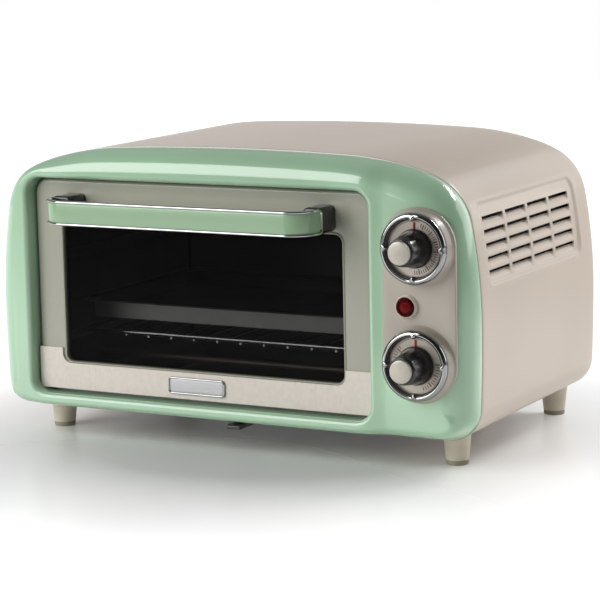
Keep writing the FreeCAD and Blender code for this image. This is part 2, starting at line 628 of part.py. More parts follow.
def door_lower_plate():
    plate = box(DOOR_LEFT, DOOR_RIGHT, 0, FRAME_FRONT, DOOR_BOTTOM, PLATE_TOP)
    x0, x1, z0 = PLATE_CUT
    return plate.cut(rounded_block(x0, x1, z0, PLATE_TOP + 20, -5, 20, PLATE_CUT_CORNER))


BADGE = (-47.7, -0.9, 41.6, 54.0)


def badge_plate():
    x0, x1, z0, z1 = BADGE
    plate = rounded_block(x0, x1, z0, z1, -1.6, 0, 3.0)
    rim = 1.3
    return plate.cut(rounded_block(x0 + rim, x1 - rim, z0 + rim, z1 - rim, -3, -1.0, 2.0))


def hinge_pins():
    pins = []
    for x, side in ((DOOR_LEFT, -1), (DOOR_RIGHT, 1)):
        a, b = x - side * 3.0, x + side * 13.5
        pins.append(rod_x(HINGE_Y, HINGE_Z, PIN_RADIUS, min(a, b), max(a, b)))
    return group(pins)


def hinge_bracket(x, side):
    """Steel ear behind the moulded front, with the bore that the door's pin turns in."""
    near, far = x + side * 6.0, x + side * 8.0
    x0, x1 = min(near, far), max(near, far)
    ear = box(x0, x1, -1.5, CAVITY_FRONT - LINER_SHEET, 36.5, 50.0)
    foot_near, foot_far = x + side * 6.0, x + side * 13.0
    foot = box(min(foot_near, foot_far), max(foot_near, foot_far), CAVITY_FRONT - LINER_SHEET - 1.2,
               CAVITY_FRONT - LINER_SHEET, 52.0, 62.0)
    web = box(x0, x1, CAVITY_FRONT - LINER_SHEET - 1.2, CAVITY_FRONT - LINER_SHEET, 50.0, 62.0)
    return union([ear, web, foot]).cut(rod_x(HINGE_Y, HINGE_Z, PIN_RADIUS + RUN_FIT, x0 - 5, x1 + 5))


def door_springs():
    """Close-wound torsion springs round the ends of the hinge pins, each with one leg up."""
    bore, wire, turns = 2.5, 1.1, 3
    springs = []
    for x, side in ((DOOR_LEFT, -1), (DOOR_RIGHT, 1)):
        start = x + side * 8.4
        outer, groove = bore + wire, wire * 0.35
        profile = [V(start, HINGE_Y + bore, HINGE_Z)]
        for turn in range(turns):
            near, far = start + side * wire * turn, start + side * wire * (turn + 1)
            middle = (near + far) / 2
            profile += [V(near, HINGE_Y + outer - groove, HINGE_Z), V(middle, HINGE_Y + outer, HINGE_Z)]
        profile += [V(far, HINGE_Y + outer - groove, HINGE_Z), V(far, HINGE_Y + bore, HINGE_Z)]
        coil = Part.Face(Part.makePolygon(profile + profile[:1])).revolve(V(x, HINGE_Y, HINGE_Z), V(1, 0, 0), 360)
        leg_x = start + side * wire / 2
        leg = rod_z(leg_x, HINGE_Y + bore + wire / 2, wire / 2 - 0.05, HINGE_Z, HINGE_Z + 12)
        springs.append(coil.fuse(leg))
    return group(springs)


# ---- handle -------------------------------------------------------------------------------
def bow(inset, z0, z1):
    """The handle's bowed plan, from one end round to the other, as a solid plate."""
    x0, x1 = HANDLE_FLAT
    y = HANDLE_FRONT + inset
    radius = HANDLE_BEND - inset
    centre_y = HANDLE_FRONT + HANDLE_BEND
    turn = radius * math.sqrt(0.5)
    left, right = x0 - radius, x1 + radius
    edges = [Part.makeLine(V(left, HANDLE_END_Y, z0), V(left, centre_y, z0)),
             Part.Arc(V(left, centre_y, z0), V(x0 - turn, centre_y - turn, z0), V(x0, y, z0)).toShape(),
             Part.makeLine(V(x0, y, z0), V(x1, y, z0)),
             Part.Arc(V(x1, y, z0), V(x1 + turn, centre_y - turn, z0), V(right, centre_y, z0)).toShape(),
             Part.makeLine(V(right, centre_y, z0), V(right, HANDLE_END_Y, z0)),
             Part.makeLine(V(right, HANDLE_END_Y, z0), V(left, HANDLE_END_Y, z0))]
    return Part.Face(Part.Wire(edges)).extrude(V(0, 0, z1 - z0))


def handle_strip():
    z0, z1 = HANDLE_BOTTOM + TRIM_HEIGHT, HANDLE_TOP - TRIM_HEIGHT
    return bow(TRIM_PROUD, z0, z1).cut(bow(TRIM_PROUD + HANDLE_THICK, z0 - 1, z1 + 1))


def handle_trim(z0):
    trim = bow(0, z0, z0 + TRIM_HEIGHT).cut(bow(2 * TRIM_PROUD + HANDLE_THICK, z0 - 1, z0 + TRIM_HEIGHT + 1))
    return trim


def handle_bracket(side):
    """Moulded end block: a tongue inside the bow and a heel against the door."""
    inner = HANDLE_FLAT[0] if side < 0 else HANDLE_FLAT[1]
    near, wide = inner - side * 3.0, inner + side * (HANDLE_BEND + 1.0)
    x0, x1 = min(near, wide), max(near, wide)
    tongue = box(x0, x1, HANDLE_END_Y - 9.0, HANDLE_END_Y, HANDLE_BOTTOM + 0.4, HANDLE_TOP - 0.4)
    tongue = tongue.common(bow(2 * TRIM_PROUD + HANDLE_THICK, HANDLE_BOTTOM, HANDLE_TOP))
    heel = box(x0, x1, HANDLE_END_Y, FRAME_FRONT, HANDLE_BOTTOM - 0.5, HANDLE_TOP)
    heel = fillet_where(heel, 2.0, lambda b: b.YLength > 10)
    x = HANDLE_SCREWS[0] if side < 0 else HANDLE_SCREWS[1]
    return union([tongue, heel]).cut(rod_y(x, HANDLE_MIDDLE, SCREW_RADIUS, -12, 5))


def handle_screws():
    screws = []
    for x in HANDLE_SCREWS:
        back = FRAME_FRONT + 1.0
        head = turned_y(x, HANDLE_MIDDLE, [(0, back), (3.6, back), (3.6, back + 1.2), (2.4, back + 2.2),
                                           (0, back + 2.2)])
        screws.append(head.fuse(rod_y(x, HANDLE_MIDDLE, SCREW_RADIUS, -12, back)))
    return group(screws)


# ---- feet and crumb tray ------------------------------------------------------------------
def foot(x, y):
    base = FOOT_BOTTOM + PAD_HEIGHT
    body = Part.makeCone(FOOT_TIP_RADIUS, FOOT_TOP_RADIUS, UNDERSIDE + 4 - base, V(x, y, base))
    body = body.cut(outline_block(0, 0, CASING_BACK))
    return body.cut([rod_z(x, y, SCREW_RADIUS, 0, 40), rod_z(x, y, SCREW_HEAD + 0.3, 0, SCREW_HEAD_Z)])


def foot_pads():
    pads = []
    for y in FOOT_YS:
        for side in (-1, 1):
            pad = rod_z(side * FOOT_X, y, PAD_RADIUS, FOOT_BOTTOM, FOOT_BOTTOM + PAD_HEIGHT)
            pads.append(fillet_where(pad, 0.9, lambda b: b.ZMax < FOOT_BOTTOM + 0.01))
    return group(pads)


def foot_screws():
    screws = []
    for y in FOOT_YS:
        for side in (-1, 1):
            x = side * FOOT_X
            head = rod_z(x, y, SCREW_HEAD, SCREW_HEAD_Z - 2.4, SCREW_HEAD_Z)
            screws.append(head.fuse(rod_z(x, y, SCREW_RADIUS, SCREW_HEAD_Z, 30)))
    return group(screws)


def crumb_tray():
    t = CRUMB_SHEET
    tray = box(CRUMB_X0, CRUMB_X1, CRUMB_Y0, CRUMB_Y1, CRUMB_FLOOR, CRUMB_TOP)
    return tray.cut(box(CRUMB_X0 + t, CRUMB_X1 - t, CRUMB_Y0 + t, CRUMB_Y1 - t, CRUMB_FLOOR + t, CRUMB_TOP + 1))


def crumb_tray_tab():
    x0, x1, y0 = CRUMB_TAB
    tab = box(x0, x1, y0, CRUMB_Y0, CRUMB_FLOOR + 0.6, CRUMB_TOP - 0.2)
    return fillet_where(tab, 1.2, lambda b: b.YMax < y0 + 0.01 and b.ZLength < 0.01)


def crumb_tray_rails():
    rails = []
    top = UNDERSIDE + SHEET
    for edge, side in ((CRUMB_X0, -1), (CRUMB_X1, 1)):
        a, b = edge + side * 0.6, edge + side * 1.8
        upright = box(min(a, b), max(a, b), CRUMB_RAIL_Y0, CRUMB_Y1, CRUMB_RAIL_LOW, top)
        c, d = edge + side * 1.8, edge - side * 6.0
        ledge = box(min(c, d), max(c, d), CRUMB_RAIL_Y0, CRUMB_Y1, CRUMB_RAIL_LOW, CRUMB_RAIL_LOW + 1)
        e, f = edge + side * 1.8, edge + side * 8.0
        flange = box(min(e, f), max(e, f), CRUMB_RAIL_Y0, CRUMB_Y1, top - 1, top)
        rails.append(union([upright, ledge, flange]))
    return group(rails)


# ---- writing the pieces -------------------------------------------------------------------
def save(name, shape):
    placed = shape.copy()
    placed.translate(TO_FRAME)
    if not placed.isValid():
        raise ValueError(name + " is not a valid shape")
    if not placed.Solids:
        raise ValueError(name + " has no solid")
    placed.exportStep("parts/" + name + ".step")
    print(f"{name:24s} {len(placed.Solids):3d} solid(s) {placed.Volume / 1000:9.2f} cm3")


def main():
    os.makedirs("parts", exist_ok=True)
    save("outer_casing", outer_casing())
    save("base_pan", base_pan())
    save("rear_panel", rear_panel())
    save("rear_screws", rear_screws())
    save("front_fascia", front_fascia())
    save("control_strip", control_strip())
    for name, z in (("timer", TIMER_Z), ("thermostat", THERMOSTAT_Z)):
        save(name + "_bezel", bezel(z))
        save(name + "_dial", dial(z))
        save(name + "_shaft", shaft(z))
        save(name + "_grip", knob_grip(z))
        save(name + "_cap", knob_cap(z))
        save(name + "_pointer", knob_pointer(z))
    save("timer_mechanism", timer_mechanism())
    save("thermostat", thermostat())
    save("indicator_bezel", indicator_bezel())
    save("indicator_lens", indicator_lens())
    save("indicator_lamp", indicator_lamp())
    save("cavity_liner", cavity_liner())
    save("cavity_front_frame", cavity_front_frame())
    save("shelf_rail_left", shelf_rail(-1))
    save("shelf_rail_right", shelf_rail(1))
    save("upper_heaters", heaters(UPPER_HEATERS))
    save("lower_heaters", heaters(LOWER_HEATERS))
    save("heater_insulators", heater_insulators())
    save("heat_shield", heat_shield())
    save("wire_rack", wire_rack())
    save("baking_tray", baking_tray())
    save("cable_gland", cable_gland())
    save("terminal_block", terminal_block())
    save("door_frame", door_frame())
    save("door_glass", door_glass())
    save("glass_retainer", glass_retainer())
    save("door_lower_plate", door_lower_plate())
    save("badge_plate", badge_plate())
    save("hinge_pins", hinge_pins())
    save("hinge_bracket_left", hinge_bracket(DOOR_LEFT, -1))
    save("hinge_bracket_right", hinge_bracket(DOOR_RIGHT, 1))
    save("door_springs", door_springs())
    save("handle_strip", handle_strip())
    save("handle_trim_top", handle_trim(HANDLE_TOP - TRIM_HEIGHT))
    save("handle_trim_bottom", handle_trim(HANDLE_BOTTOM))
    save("handle_bracket_left", handle_bracket(-1))
    save("handle_bracket_right", handle_bracket(1))
    save("handle_screws", handle_screws())
    for place, y in (("front", FOOT_YS[0]), ("rear", FOOT_YS[1])):
        save(f"foot_{place}_left", foot(-FOOT_X, y))
        save(f"foot_{place}_right", foot(FOOT_X, y))
    save("foot_pads", foot_pads())
    save("foot_screws", foot_screws())
    save("crumb_tray", crumb_tray())
    save("crumb_tray_tab", crumb_tray_tab())
    save("crumb_tray_rails", crumb_tray_rails())


main()
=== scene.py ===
# %% [markdown]
# # A compact toaster oven, dressed for its portrait
#
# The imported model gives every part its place. This lesson loads it, replaces the pieces whose shape
# wants more care than a plain solid has, and gives every surface a finish made from nodes.

# %% Load the frame
import json
import math

import bmesh
import bpy
import numpy as np
from mathutils import Matrix, Vector


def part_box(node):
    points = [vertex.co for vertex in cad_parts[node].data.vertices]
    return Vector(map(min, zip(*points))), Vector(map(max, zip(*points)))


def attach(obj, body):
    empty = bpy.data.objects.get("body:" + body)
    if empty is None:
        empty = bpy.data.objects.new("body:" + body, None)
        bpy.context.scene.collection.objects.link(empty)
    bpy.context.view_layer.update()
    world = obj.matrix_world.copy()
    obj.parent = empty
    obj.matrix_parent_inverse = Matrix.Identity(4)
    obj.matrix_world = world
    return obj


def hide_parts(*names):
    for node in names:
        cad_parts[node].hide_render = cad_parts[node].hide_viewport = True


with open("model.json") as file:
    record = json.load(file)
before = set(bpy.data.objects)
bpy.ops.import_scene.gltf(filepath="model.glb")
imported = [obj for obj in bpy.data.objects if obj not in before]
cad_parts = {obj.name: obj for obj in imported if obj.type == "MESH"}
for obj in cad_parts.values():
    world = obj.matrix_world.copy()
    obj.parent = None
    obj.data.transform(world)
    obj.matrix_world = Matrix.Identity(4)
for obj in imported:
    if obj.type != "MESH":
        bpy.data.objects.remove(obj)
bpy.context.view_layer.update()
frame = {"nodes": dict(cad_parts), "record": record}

# %% [markdown]
# ## Where things are
#
# The oven was drawn in millimetres from two planes: the front face of the door's lower plate, for
# depths, and a level just under the feet, for heights. Both can be read back from the model's boxes,
# so every piece below is written in those same millimetres and moved into the frame by one function.

# %% The maker's millimetres
MM = 0.001
CROWN = 218.0                                              # level datum to the top of the casing
PLATE_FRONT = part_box("door_lower_plate")[0].y              # the depth datum in the frame
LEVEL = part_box("outer_casing")[1].z - CROWN * MM           # the height datum in the frame


def place(x, y, z):
    """Millimetres from the two planes, as points of the frame in metres."""
    x, y, z = np.broadcast_arrays(np.asarray(x, float), y, z)
    return np.stack([x * MM, y * MM + PLATE_FRONT, z * MM + LEVEL], -1)


print("depth datum", round(PLATE_FRONT, 4), "height datum", round(LEVEL, 4))

# %% [markdown]
# ## Surfaces from arrays
#
# A surface is a grid of points, one row per step along the piece and one column per step round it.
# `skin` joins neighbours with four-cornered faces. Because all faces come from one index array, no
# loop visits a vertex.

# %% Grid surfaces


def grid_faces(rows, columns, wrap_rows=False, wrap_columns=False):
    """Corner numbers of the quads of a grid: (i, j), (i+1, j), (i+1, j+1), (i, j+1)."""
    i = np.arange(rows if wrap_rows else rows - 1)[:, None]
    j = np.arange(columns if wrap_columns else columns - 1)[None, :]
    i2, j2 = (i + 1) % rows, (j + 1) % columns
    corners = (i * columns + j, i2 * columns + j, i2 * columns + j2, i * columns + j2)
    return np.stack(np.broadcast_arrays(*corners), -1).reshape(-1, 4)


def face_out(points, quads, toward=None):
    """The same quads, turned over if they look the wrong way.

    A quad's area vector is half the cross product of its diagonals. An open sheet should have its sum
    along `toward`; a closed skin should have a positive sum of centre . area vector, its volume."""
    a, b, c, d = (points[quads[:, k]] for k in range(4))
    area = np.cross(c - a, d - b) / 2
    along = (a + b + c + d) / 4 if toward is None else np.asarray(toward, float)
    return quads if (along * area).sum() > 0 else quads[:, ::-1]


def mesh_object(name, points, quads):
    """One mesh from an array of points and an array of four-cornered faces.

    An edge with one face is the rim of a sheet; it is marked sharp, so that a wall added later does not
    round the shading there."""
    quads = np.ascontiguousarray(quads, np.int32)
    mesh = bpy.data.meshes.new(name)
    mesh.vertices.add(len(points))
    mesh.vertices.foreach_set("co", np.asarray(points, np.float32).ravel())
    mesh.loops.add(quads.size)
    mesh.loops.foreach_set("vertex_index", quads.ravel())
    mesh.polygons.add(len(quads))
    mesh.polygons.foreach_set("loop_start", np.arange(0, quads.size, 4, dtype=np.int32))
    mesh.polygons.foreach_set("use_smooth", np.full(len(quads), True))
    mesh.update(calc_edges=True)
    mesh.validate()
    edges = np.empty(len(mesh.loops), np.int32)
    mesh.loops.foreach_get("edge_index", edges)
    rim = np.bincount(edges, minlength=len(mesh.edges)) == 1
    mesh.attributes.new("sharp_edge", "BOOLEAN", "EDGE").data.foreach_set("value", rim)
    piece = bpy.data.objects.new(name, mesh)
    bpy.context.scene.collection.objects.link(piece)
    return piece


def skin(name, grid, wrap_rows=False, wrap_columns=False, toward=None, keep=None):
    """One grid as one mesh; `keep` is a mask of the quads that stay."""
    return skins(name, [(grid, wrap_rows, wrap_columns, toward, keep)])


def skins(name, parts):
    """Several grids as one mesh; each part is (grid, wrap_rows, wrap_columns, toward, keep)."""
    points, faces, count = [], [], 0
    for grid, wrap_rows, wrap_columns, toward, keep in parts:
        quads = grid_faces(*grid.shape[:2], wrap_rows, wrap_columns)
        quads = quads if keep is None else quads[np.ravel(keep)]
        flat = grid.reshape(-1, 3)
        faces.append(face_out(flat, quads, toward) + count)
        points.append(flat)
        count += len(flat)
    return mesh_object(name, np.concatenate(points), np.concatenate(faces))


def modify(piece, kind, name, **settings):
    """Adds a modifier with its settings."""
    modifier = piece.modifiers.new(name, kind)
    for key, value in settings.items():
        setattr(modifier, key, value)
    return piece


def weld(piece, gap=1e-5):
    """Merges the doubled points of poles and seams."""
    work = bmesh.new()
    work.from_mesh(piece.data)
    bmesh.ops.remove_doubles(work, verts=work.verts, dist=gap)
    bmesh.ops.dissolve_degenerate(work, edges=work.edges, dist=gap)
    work.to_mesh(piece.data)
    work.free()
    return piece


def turned(x, z, radius, depth, steps=96):
    """A profile turned about the line through (x, z) that runs front to back.

    Column k holds the profile's point (radius, depth) turned by the angle 2 pi k / steps."""
    angle = np.linspace(0, 2 * np.pi, steps, endpoint=False)[None, :]
    radius = np.asarray(radius, float)
    radius = radius[:, None] if radius.ndim == 1 else radius
    depth = np.asarray(depth, float)[:, None]
    return place(x + radius * np.sin(angle), depth + 0 * angle, z + radius * np.cos(angle))


def rounded_profile(points, radius, steps=6):
    """A broken line with every inner corner replaced by an arc-like curve.

    Each corner is a quadratic curve from a point `radius` before it to a point `radius` after it."""
    points = np.asarray(points, float)
    radius = np.broadcast_to(np.asarray(radius, float), len(points))
    out = [points[:1]]
    t = np.linspace(0, 1, steps)[:, None]
    for before, corner, after, r in zip(points[:-2], points[1:-1], points[2:], radius[1:-1]):
        a = corner + (before - corner) / np.linalg.norm(before - corner) * r
        b = corner + (after - corner) / np.linalg.norm(after - corner) * r
        out.append((1 - t) ** 2 * a + 2 * t * (1 - t) * corner + t ** 2 * b)
    out.append(points[-1:])
    return np.concatenate(out)


def smooth_step(value, low, high):
    """0 below low, 1 above high, and the cubic 3t^2 - 2t^3 between."""
    t = np.clip((value - low) / (high - low), 0, 1)
    return t * t * (3 - 2 * t)


# %% [markdown]
# ## The body's outline
#
# From the front the body is a chain of arcs, each leaving the last one in its own direction: almost
# flat over the crown, tight at the shoulder and nearly straight down the side. The same chain, with
# every radius less a wall, gives the inside.

# %% Outline as tangent arcs
CROWN_TO_SIDE = [(2200.0, 2.4), (230.0, 15.0), (113.0, 25.0), (41.3, 79.0), (375.0, 90.0), (1330.0, 92.4)]
UNDERSIDE = 22.8


def half_outline(underside, steps):
    """Right half of the outline from crown to underside: x, z and the outward heading.

    On an arc of radius r the point is centre + r (sin h, cos h), h being the heading below the level."""
    x, z, heading = 0.0, CROWN, 0.0
    columns = []
    chain = [(r, math.radians(h)) for r, h in CROWN_TO_SIDE]
    for index in range(len(chain) + 1):
        if index < len(chain):
            radius, end = chain[index]
        else:
            radius, end = (z - underside) / (1 + math.cos(heading)), math.pi
        turn = np.linspace(heading, end, steps[index], endpoint=index == len(chain))
        centre_x, centre_z = x - radius * math.sin(heading), z - radius * math.cos(heading)
        columns.append(np.stack([centre_x + radius * np.sin(turn), centre_z + radius * np.cos(turn), turn]))
        x, z, heading = centre_x + radius * math.sin(end), centre_z + radius * math.cos(end), end
    return np.concatenate(columns, 1)


right_half = half_outline(UNDERSIDE, (14, 10, 8, 24, 12, 8, 16))
print("outline points", right_half.shape[1], "widest", round(float(right_half[0].max()), 2))

# %% [markdown]
# ## Finishes
#
# A finish is a small network of nodes round one Principled shader. What is the same all over, such as
# a metal's metalness or the depth of a clear coat, is set on the shader itself. What varies, such as
# the tint of an enamel or the haze of a fingerprint, is worked out from noise in Object coordinates,
# so it stays on the piece when a door opens or a knob turns.

# %% A finish under way


class Finish:
    """One material: the shader, and short ways to hang patterns on it."""

    def __init__(self, name, **sockets):
        self.material = bpy.data.materials.new(name)
        self.material.use_nodes = True
        self.tree = self.material.node_tree
        self.shader = self.tree.nodes["Principled BSDF"]
        self.place = self.tree.nodes.new("ShaderNodeTexCoord").outputs["Object"]
        for socket, value in sockets.items():
            self.shader.inputs[socket.replace("_", " ")].default_value = value

    def node(self, kind, **inputs):
        """A node with its inputs set or linked; keys are socket names, with _ for a space."""
        node = self.tree.nodes.new("ShaderNode" + kind)
        for key, value in inputs.items():
            self.put(node.inputs[key.replace("_", " ")], value)
        return node

    def put(self, socket, value):
        """Links an output to a socket, or sets the socket's own value."""
        if isinstance(value, bpy.types.NodeSocket):
            self.tree.links.new(value, socket)
        else:
            socket.default_value = value

    def at(self, stretch=(1, 1, 1), centre=(0, 0, 0)):
        """Object coordinates moved so that `centre` is zero, then stretched along each axis."""
        moved = self.node("VectorMath", Vector=self.place)
        moved.operation = "SUBTRACT"
        moved.inputs[1].default_value = centre
        scaled = self.node("VectorMath", Vector=moved.outputs[0])
        scaled.operation = "MULTIPLY"
        scaled.inputs[1].default_value = stretch
        return scaled.outputs[0]

    def noise(self, scale, detail=3.0, rough=0.5, stretch=(1, 1, 1)):
        """Cloudy noise, `scale` lumps to the metre."""
        cloud = self.node("TexNoise", Vector=self.at(stretch), Scale=scale, Detail=detail, Roughness=rough)
        return cloud.outputs["Fac"]

    def sum(self, operation, a, b=0.0, c=0.0, clamp=False):
        """One Math node."""
        node = self.tree.nodes.new("ShaderNodeMath")
        node.operation = operation
        node.use_clamp = clamp
        for socket, value in zip(node.inputs, (a, b, c)):
            self.put(socket, value)
        return node.outputs[0]

    def length(self, a, b):
        """Square root of a^2 + b^2."""
        return self.sum("SQRT", self.sum("ADD", self.sum("MULTIPLY", a, a), self.sum("MULTIPLY", b, b)))

    def about(self, x, z):
        """Millimetres across, up and in all from the line through (x, z) that runs front to back."""
        split = self.node("SeparateXYZ", Vector=self.at((1000, 0, 1000), tuple(place(x, 0, z).tolist())))
        across, up = split.outputs["X"], split.outputs["Z"]
        return across, up, self.length(across, up)

    def ramp(self, value, low, high, start=0.0, end=1.0):
        """Value between low and high, carried to start and end."""
        node = self.node("MapRange", Value=value, From_Min=low, From_Max=high, To_Min=start, To_Max=end)
        return node.outputs["Result"]

    def tint(self, factor, first, second):
        """Colour between two, by a factor."""
        node = self.tree.nodes.new("ShaderNodeMix")
        node.data_type = "RGBA"
        self.put(node.inputs["Factor"], factor)
        self.put(node.inputs[6], first)
        self.put(node.inputs[7], second)
        return node.outputs[2]

    def colour(self, value):
        self.put(self.shader.inputs["Base Color"], value)

    def roughness(self, value):
        self.put(self.shader.inputs["Roughness"], value)

    def relief(self, height, strength, depth, under=None):
        """Bump from a height pattern; `under` is an earlier relief that this one lies on."""
        node = self.node("Bump", Height=height, Strength=strength, Distance=depth)
        if under:
            self.put(node.inputs["Normal"], under)
        self.put(self.shader.inputs["Normal"], node.outputs[0])
        return node.outputs[0]


def linear(red, green, blue):
    """A screen colour of 0 to 255 as the linear colour that a shader takes.

    Below 0.04045 the curve is a straight line, c / 12.92; above, ((c + 0.055) / 1.055) to the power 2.4."""
    c = np.array([red, green, blue]) / 255.0
    return (*np.where(c <= 0.04045, c / 12.92, ((c + 0.055) / 1.055) ** 2.4).tolist(), 1.0)


def shade(colour, by):
    """The same colour made darker or lighter by a factor."""
    return tuple(min(1.0, channel * by) for channel in colour[:3]) + (1.0,)


# %% [markdown]
# ## Stoved enamel
#
# The casing, the front and the door are pressed parts with stoved paint. Such paint has three scales:
# broad clouds of tint that hardly show, the soft dimpling called orange peel, and a clear gloss on top
# that wipes and dusters leave slightly hazy. Dust grinds it a little paler along the sharpest edges.

# %% Enamels


def enamel(name, colour, gloss, coat, peel=0.04, haze=0.05, grit=0.03, shine=0.5):
    """Stoved paint: tint = clouds of two near shades, paler where the surface is sharply convex."""
    f = Finish(name, Coat_Weight=coat, Coat_Roughness=0.05, Specular_IOR_Level=shine)
    clouds = f.noise(9.0, 2.0)
    body = f.tint(f.ramp(clouds, 0.35, 0.65), shade(colour, 0.975), shade(colour, 1.02))
    sharp = f.node("NewGeometry").outputs["Pointiness"]
    worn = f.sum("MULTIPLY", f.ramp(sharp, 0.53, 0.60), f.ramp(f.noise(260.0, 4.0), 0.35, 0.6))
    f.colour(f.tint(f.sum("MULTIPLY", worn, 0.35), body, shade(colour, 1.18)))
    wiped = f.noise(38.0, 3.0, 0.6, (1, 1, 0.3))
    f.roughness(f.ramp(wiped, 0.3, 0.7, gloss, gloss + haze))
    soft = f.relief(f.noise(420.0, 1.0, 0.4), peel, 0.00006)
    f.relief(f.noise(5200.0, 2.0), grit, 0.00005, soft)
    return f.material


GREEN = linear(164, 200, 168)
BEIGE = linear(206, 192, 178)
finishes = {
    "front_green": enamel("front_enamel", GREEN, 0.16, 0.7, 0.012),
    "casing_enamel": enamel("casing_paint", BEIGE, 0.38, 0.22, 0.01, 0.02, 0.02, 0.25),
    "strip_beige": enamel("strip_paint", linear(172, 164, 152), 0.34, 0.15, 0.03),
    "door_enamel": enamel("door_paint", linear(156, 156, 141), 0.28, 0.3, 0.03),
    "plate_enamel": enamel("plate_paint", linear(206, 198, 187), 0.26, 0.3, 0.03),
}
print("enamels", sorted(finishes))

# %% [markdown]
# ## Metals
#
# Chrome is a mirror with fingerprints: its haze is a noise of several scales. Rolled, brushed and
# galvanised steel differ in the direction and size of their grain, so one function stretches the
# noise along the grain and leaves it fine across it.

# %% Metals


def chromed(name, tone=0.82, haze=0.05):
    """Mirror plate whose roughness is a haze of smears and specks."""
    f = Finish(name, Metallic=1.0)
    smear = f.noise(55.0, 4.0, 0.6, (1, 1, 2.5))
    worn = tone * 0.93
    f.colour(f.tint(f.ramp(smear, 0.3, 0.7), (tone, tone, tone * 0.99, 1), (worn, worn, tone * 0.94, 1)))
    f.roughness(f.ramp(f.noise(180.0, 5.0, 0.7), 0.35, 0.75, 0.035, 0.035 + haze))
    f.relief(f.noise(900.0, 2.0), 0.02, 0.0001)
    return f.material


def steel(name, colour, rough, grain=(1, 1, 1), depth=0.12, spread=0.16, spots=0.0):
    """Bare or plated steel: grain = noise stretched along the rolling, spots = larger dull patches."""
    f = Finish(name, Metallic=1.0)
    lines = f.noise(900.0, 4.0, 0.7, grain)
    dull = f.noise(24.0, 3.0)
    f.colour(f.tint(f.ramp(dull, 0.3, 0.7), shade(colour, 0.88), shade(colour, 1.06)))
    mixed = f.sum("ADD", f.sum("MULTIPLY", lines, 0.6), f.sum("MULTIPLY", dull, 0.4 + spots))
    f.roughness(f.ramp(mixed, 0.3, 0.8, rough, rough + spread))
    f.relief(lines, depth, 0.00008)
    return f.material


BRIGHT = (0.66, 0.65, 0.63, 1)
finishes |= {
    "bright_chrome": chromed("bright_chrome"),
    # Painted light: the rack's chrome tone is raised to 0.96 so that its bar reads bright behind the window.
    "rack_chrome": chromed("rack_chrome", 0.96, 0.22),
    "base_steel": steel("underside_steel", (0.42, 0.42, 0.41, 1), 0.38, (1, 0.1, 1)),
    "rear_steel": steel("rear_steel", (0.52, 0.51, 0.49, 1), 0.36, (0.08, 1, 1)),
    # Painted shade: the cavity steel is made dark, for the shade inside the oven.
    "liner_steel": steel("cavity_steel", (0.24, 0.235, 0.22, 1), 0.40, (1, 0.08, 1), 0.10, 0.2, 0.2),
    "rail_steel": steel("rail_steel", (0.50, 0.50, 0.48, 1), 0.30, (1, 0.05, 1)),
    "heater_sheath": steel("heater_sheath", (0.30, 0.26, 0.23, 1), 0.45, (0.1, 1, 1), 0.2),
    "tray_steel": steel("crumb_tray_steel", (0.50, 0.50, 0.49, 1), 0.34, (0.1, 1, 1)),
    "screw_steel": steel("screw_steel", BRIGHT, 0.24, (1, 1, 1), 0.15),
    "hinge_brass": steel("hinge_brass", (0.72, 0.50, 0.20, 1), 0.22, (1, 0.2, 1)),
    "spring_steel": steel("spring_steel", (0.45, 0.44, 0.43, 1), 0.26, (0.3, 1, 1)),
    "mechanism_steel": steel("mechanism_steel", (0.55, 0.54, 0.50, 1), 0.33, (1, 0.1, 1)),
}
print("enamels and metals", len(finishes))

# %% [markdown]
# ## Plastics, rubber, ceramic and glass
#
# Moulded parts take the texture of their tool: a fine pebble, softer on glossy parts. The window is
# tinted glass, made as a thin dark coat that lets light past, so that the rack stays visible behind it.

# %% Plastics and glass


def moulded(name, colour, rough, pebble=0.08, size=1600.0, coat=0.0):
    """Moulded plastic: pebble from the tool, rubbed smoother in patches."""
    f = Finish(name, Coat_Weight=coat, Coat_Roughness=0.08)
    rubbed = f.noise(60.0, 3.0)
    f.colour(f.tint(f.ramp(rubbed, 0.3, 0.7), shade(colour, 0.9), shade(colour, 1.1)))
    f.roughness(f.ramp(rubbed, 0.3, 0.7, rough, rough + 0.14))
    grain = f.relief(f.noise(size, 2.0, 0.4), pebble, 0.0001)
    f.relief(f.noise(size * 0.2, 1.0), pebble * 0.5, 0.0002, grain)
    return f.material


def tinted_glass(name, colour, cover):
    """Thin tinted glass: a dark gloss that hides `cover` of what lies behind, with a film of grease."""
    f = Finish(name, Alpha=cover, Specular_IOR_Level=0.04)
    film = f.noise(14.0, 4.0, 0.65, (1, 1, 0.5))
    f.colour(f.tint(f.ramp(film, 0.4, 0.7), colour, shade(colour, 1.5)))
    f.roughness(f.ramp(film, 0.35, 0.75, 0.02, 0.10))
    f.relief(f.noise(30.0, 1.0), 0.01, 0.0005)
    return f.material


def tray_finish(name):
    """Stained steel, grey at the rolled front edge and painted near black inside: a painted shade for the dark
    inside of the tray.

    The colour goes from grey metal to near black over the first 14 mm behind the tray's front."""
    f = Finish(name, Metallic=0.9)
    start, dark = (float(place(0, depth, 0)[1]) for depth in (44.0, 58.0))
    behind = f.ramp(f.node("SeparateXYZ", Vector=f.at()).outputs["Y"], start, dark)
    stains = f.noise(70.0, 4.0, 0.6)
    lines = f.noise(900.0, 3.0, 0.6, (0.1, 1, 1))
    bare = f.tint(f.ramp(stains, 0.3, 0.7), (0.62, 0.62, 0.58, 1), (0.76, 0.76, 0.71, 1))
    # Painted shade: the near-black colour stands for the shade inside the tray; the stains vary it.
    painted_shade = f.tint(f.ramp(stains, 0.3, 0.7), (0.020, 0.020, 0.019, 1), (0.055, 0.05, 0.045, 1))
    f.colour(f.tint(behind, bare, painted_shade))
    f.roughness(f.ramp(stains, 0.3, 0.8, 0.36, 0.52))
    f.relief(lines, 0.1, 0.00008)
    return f.material


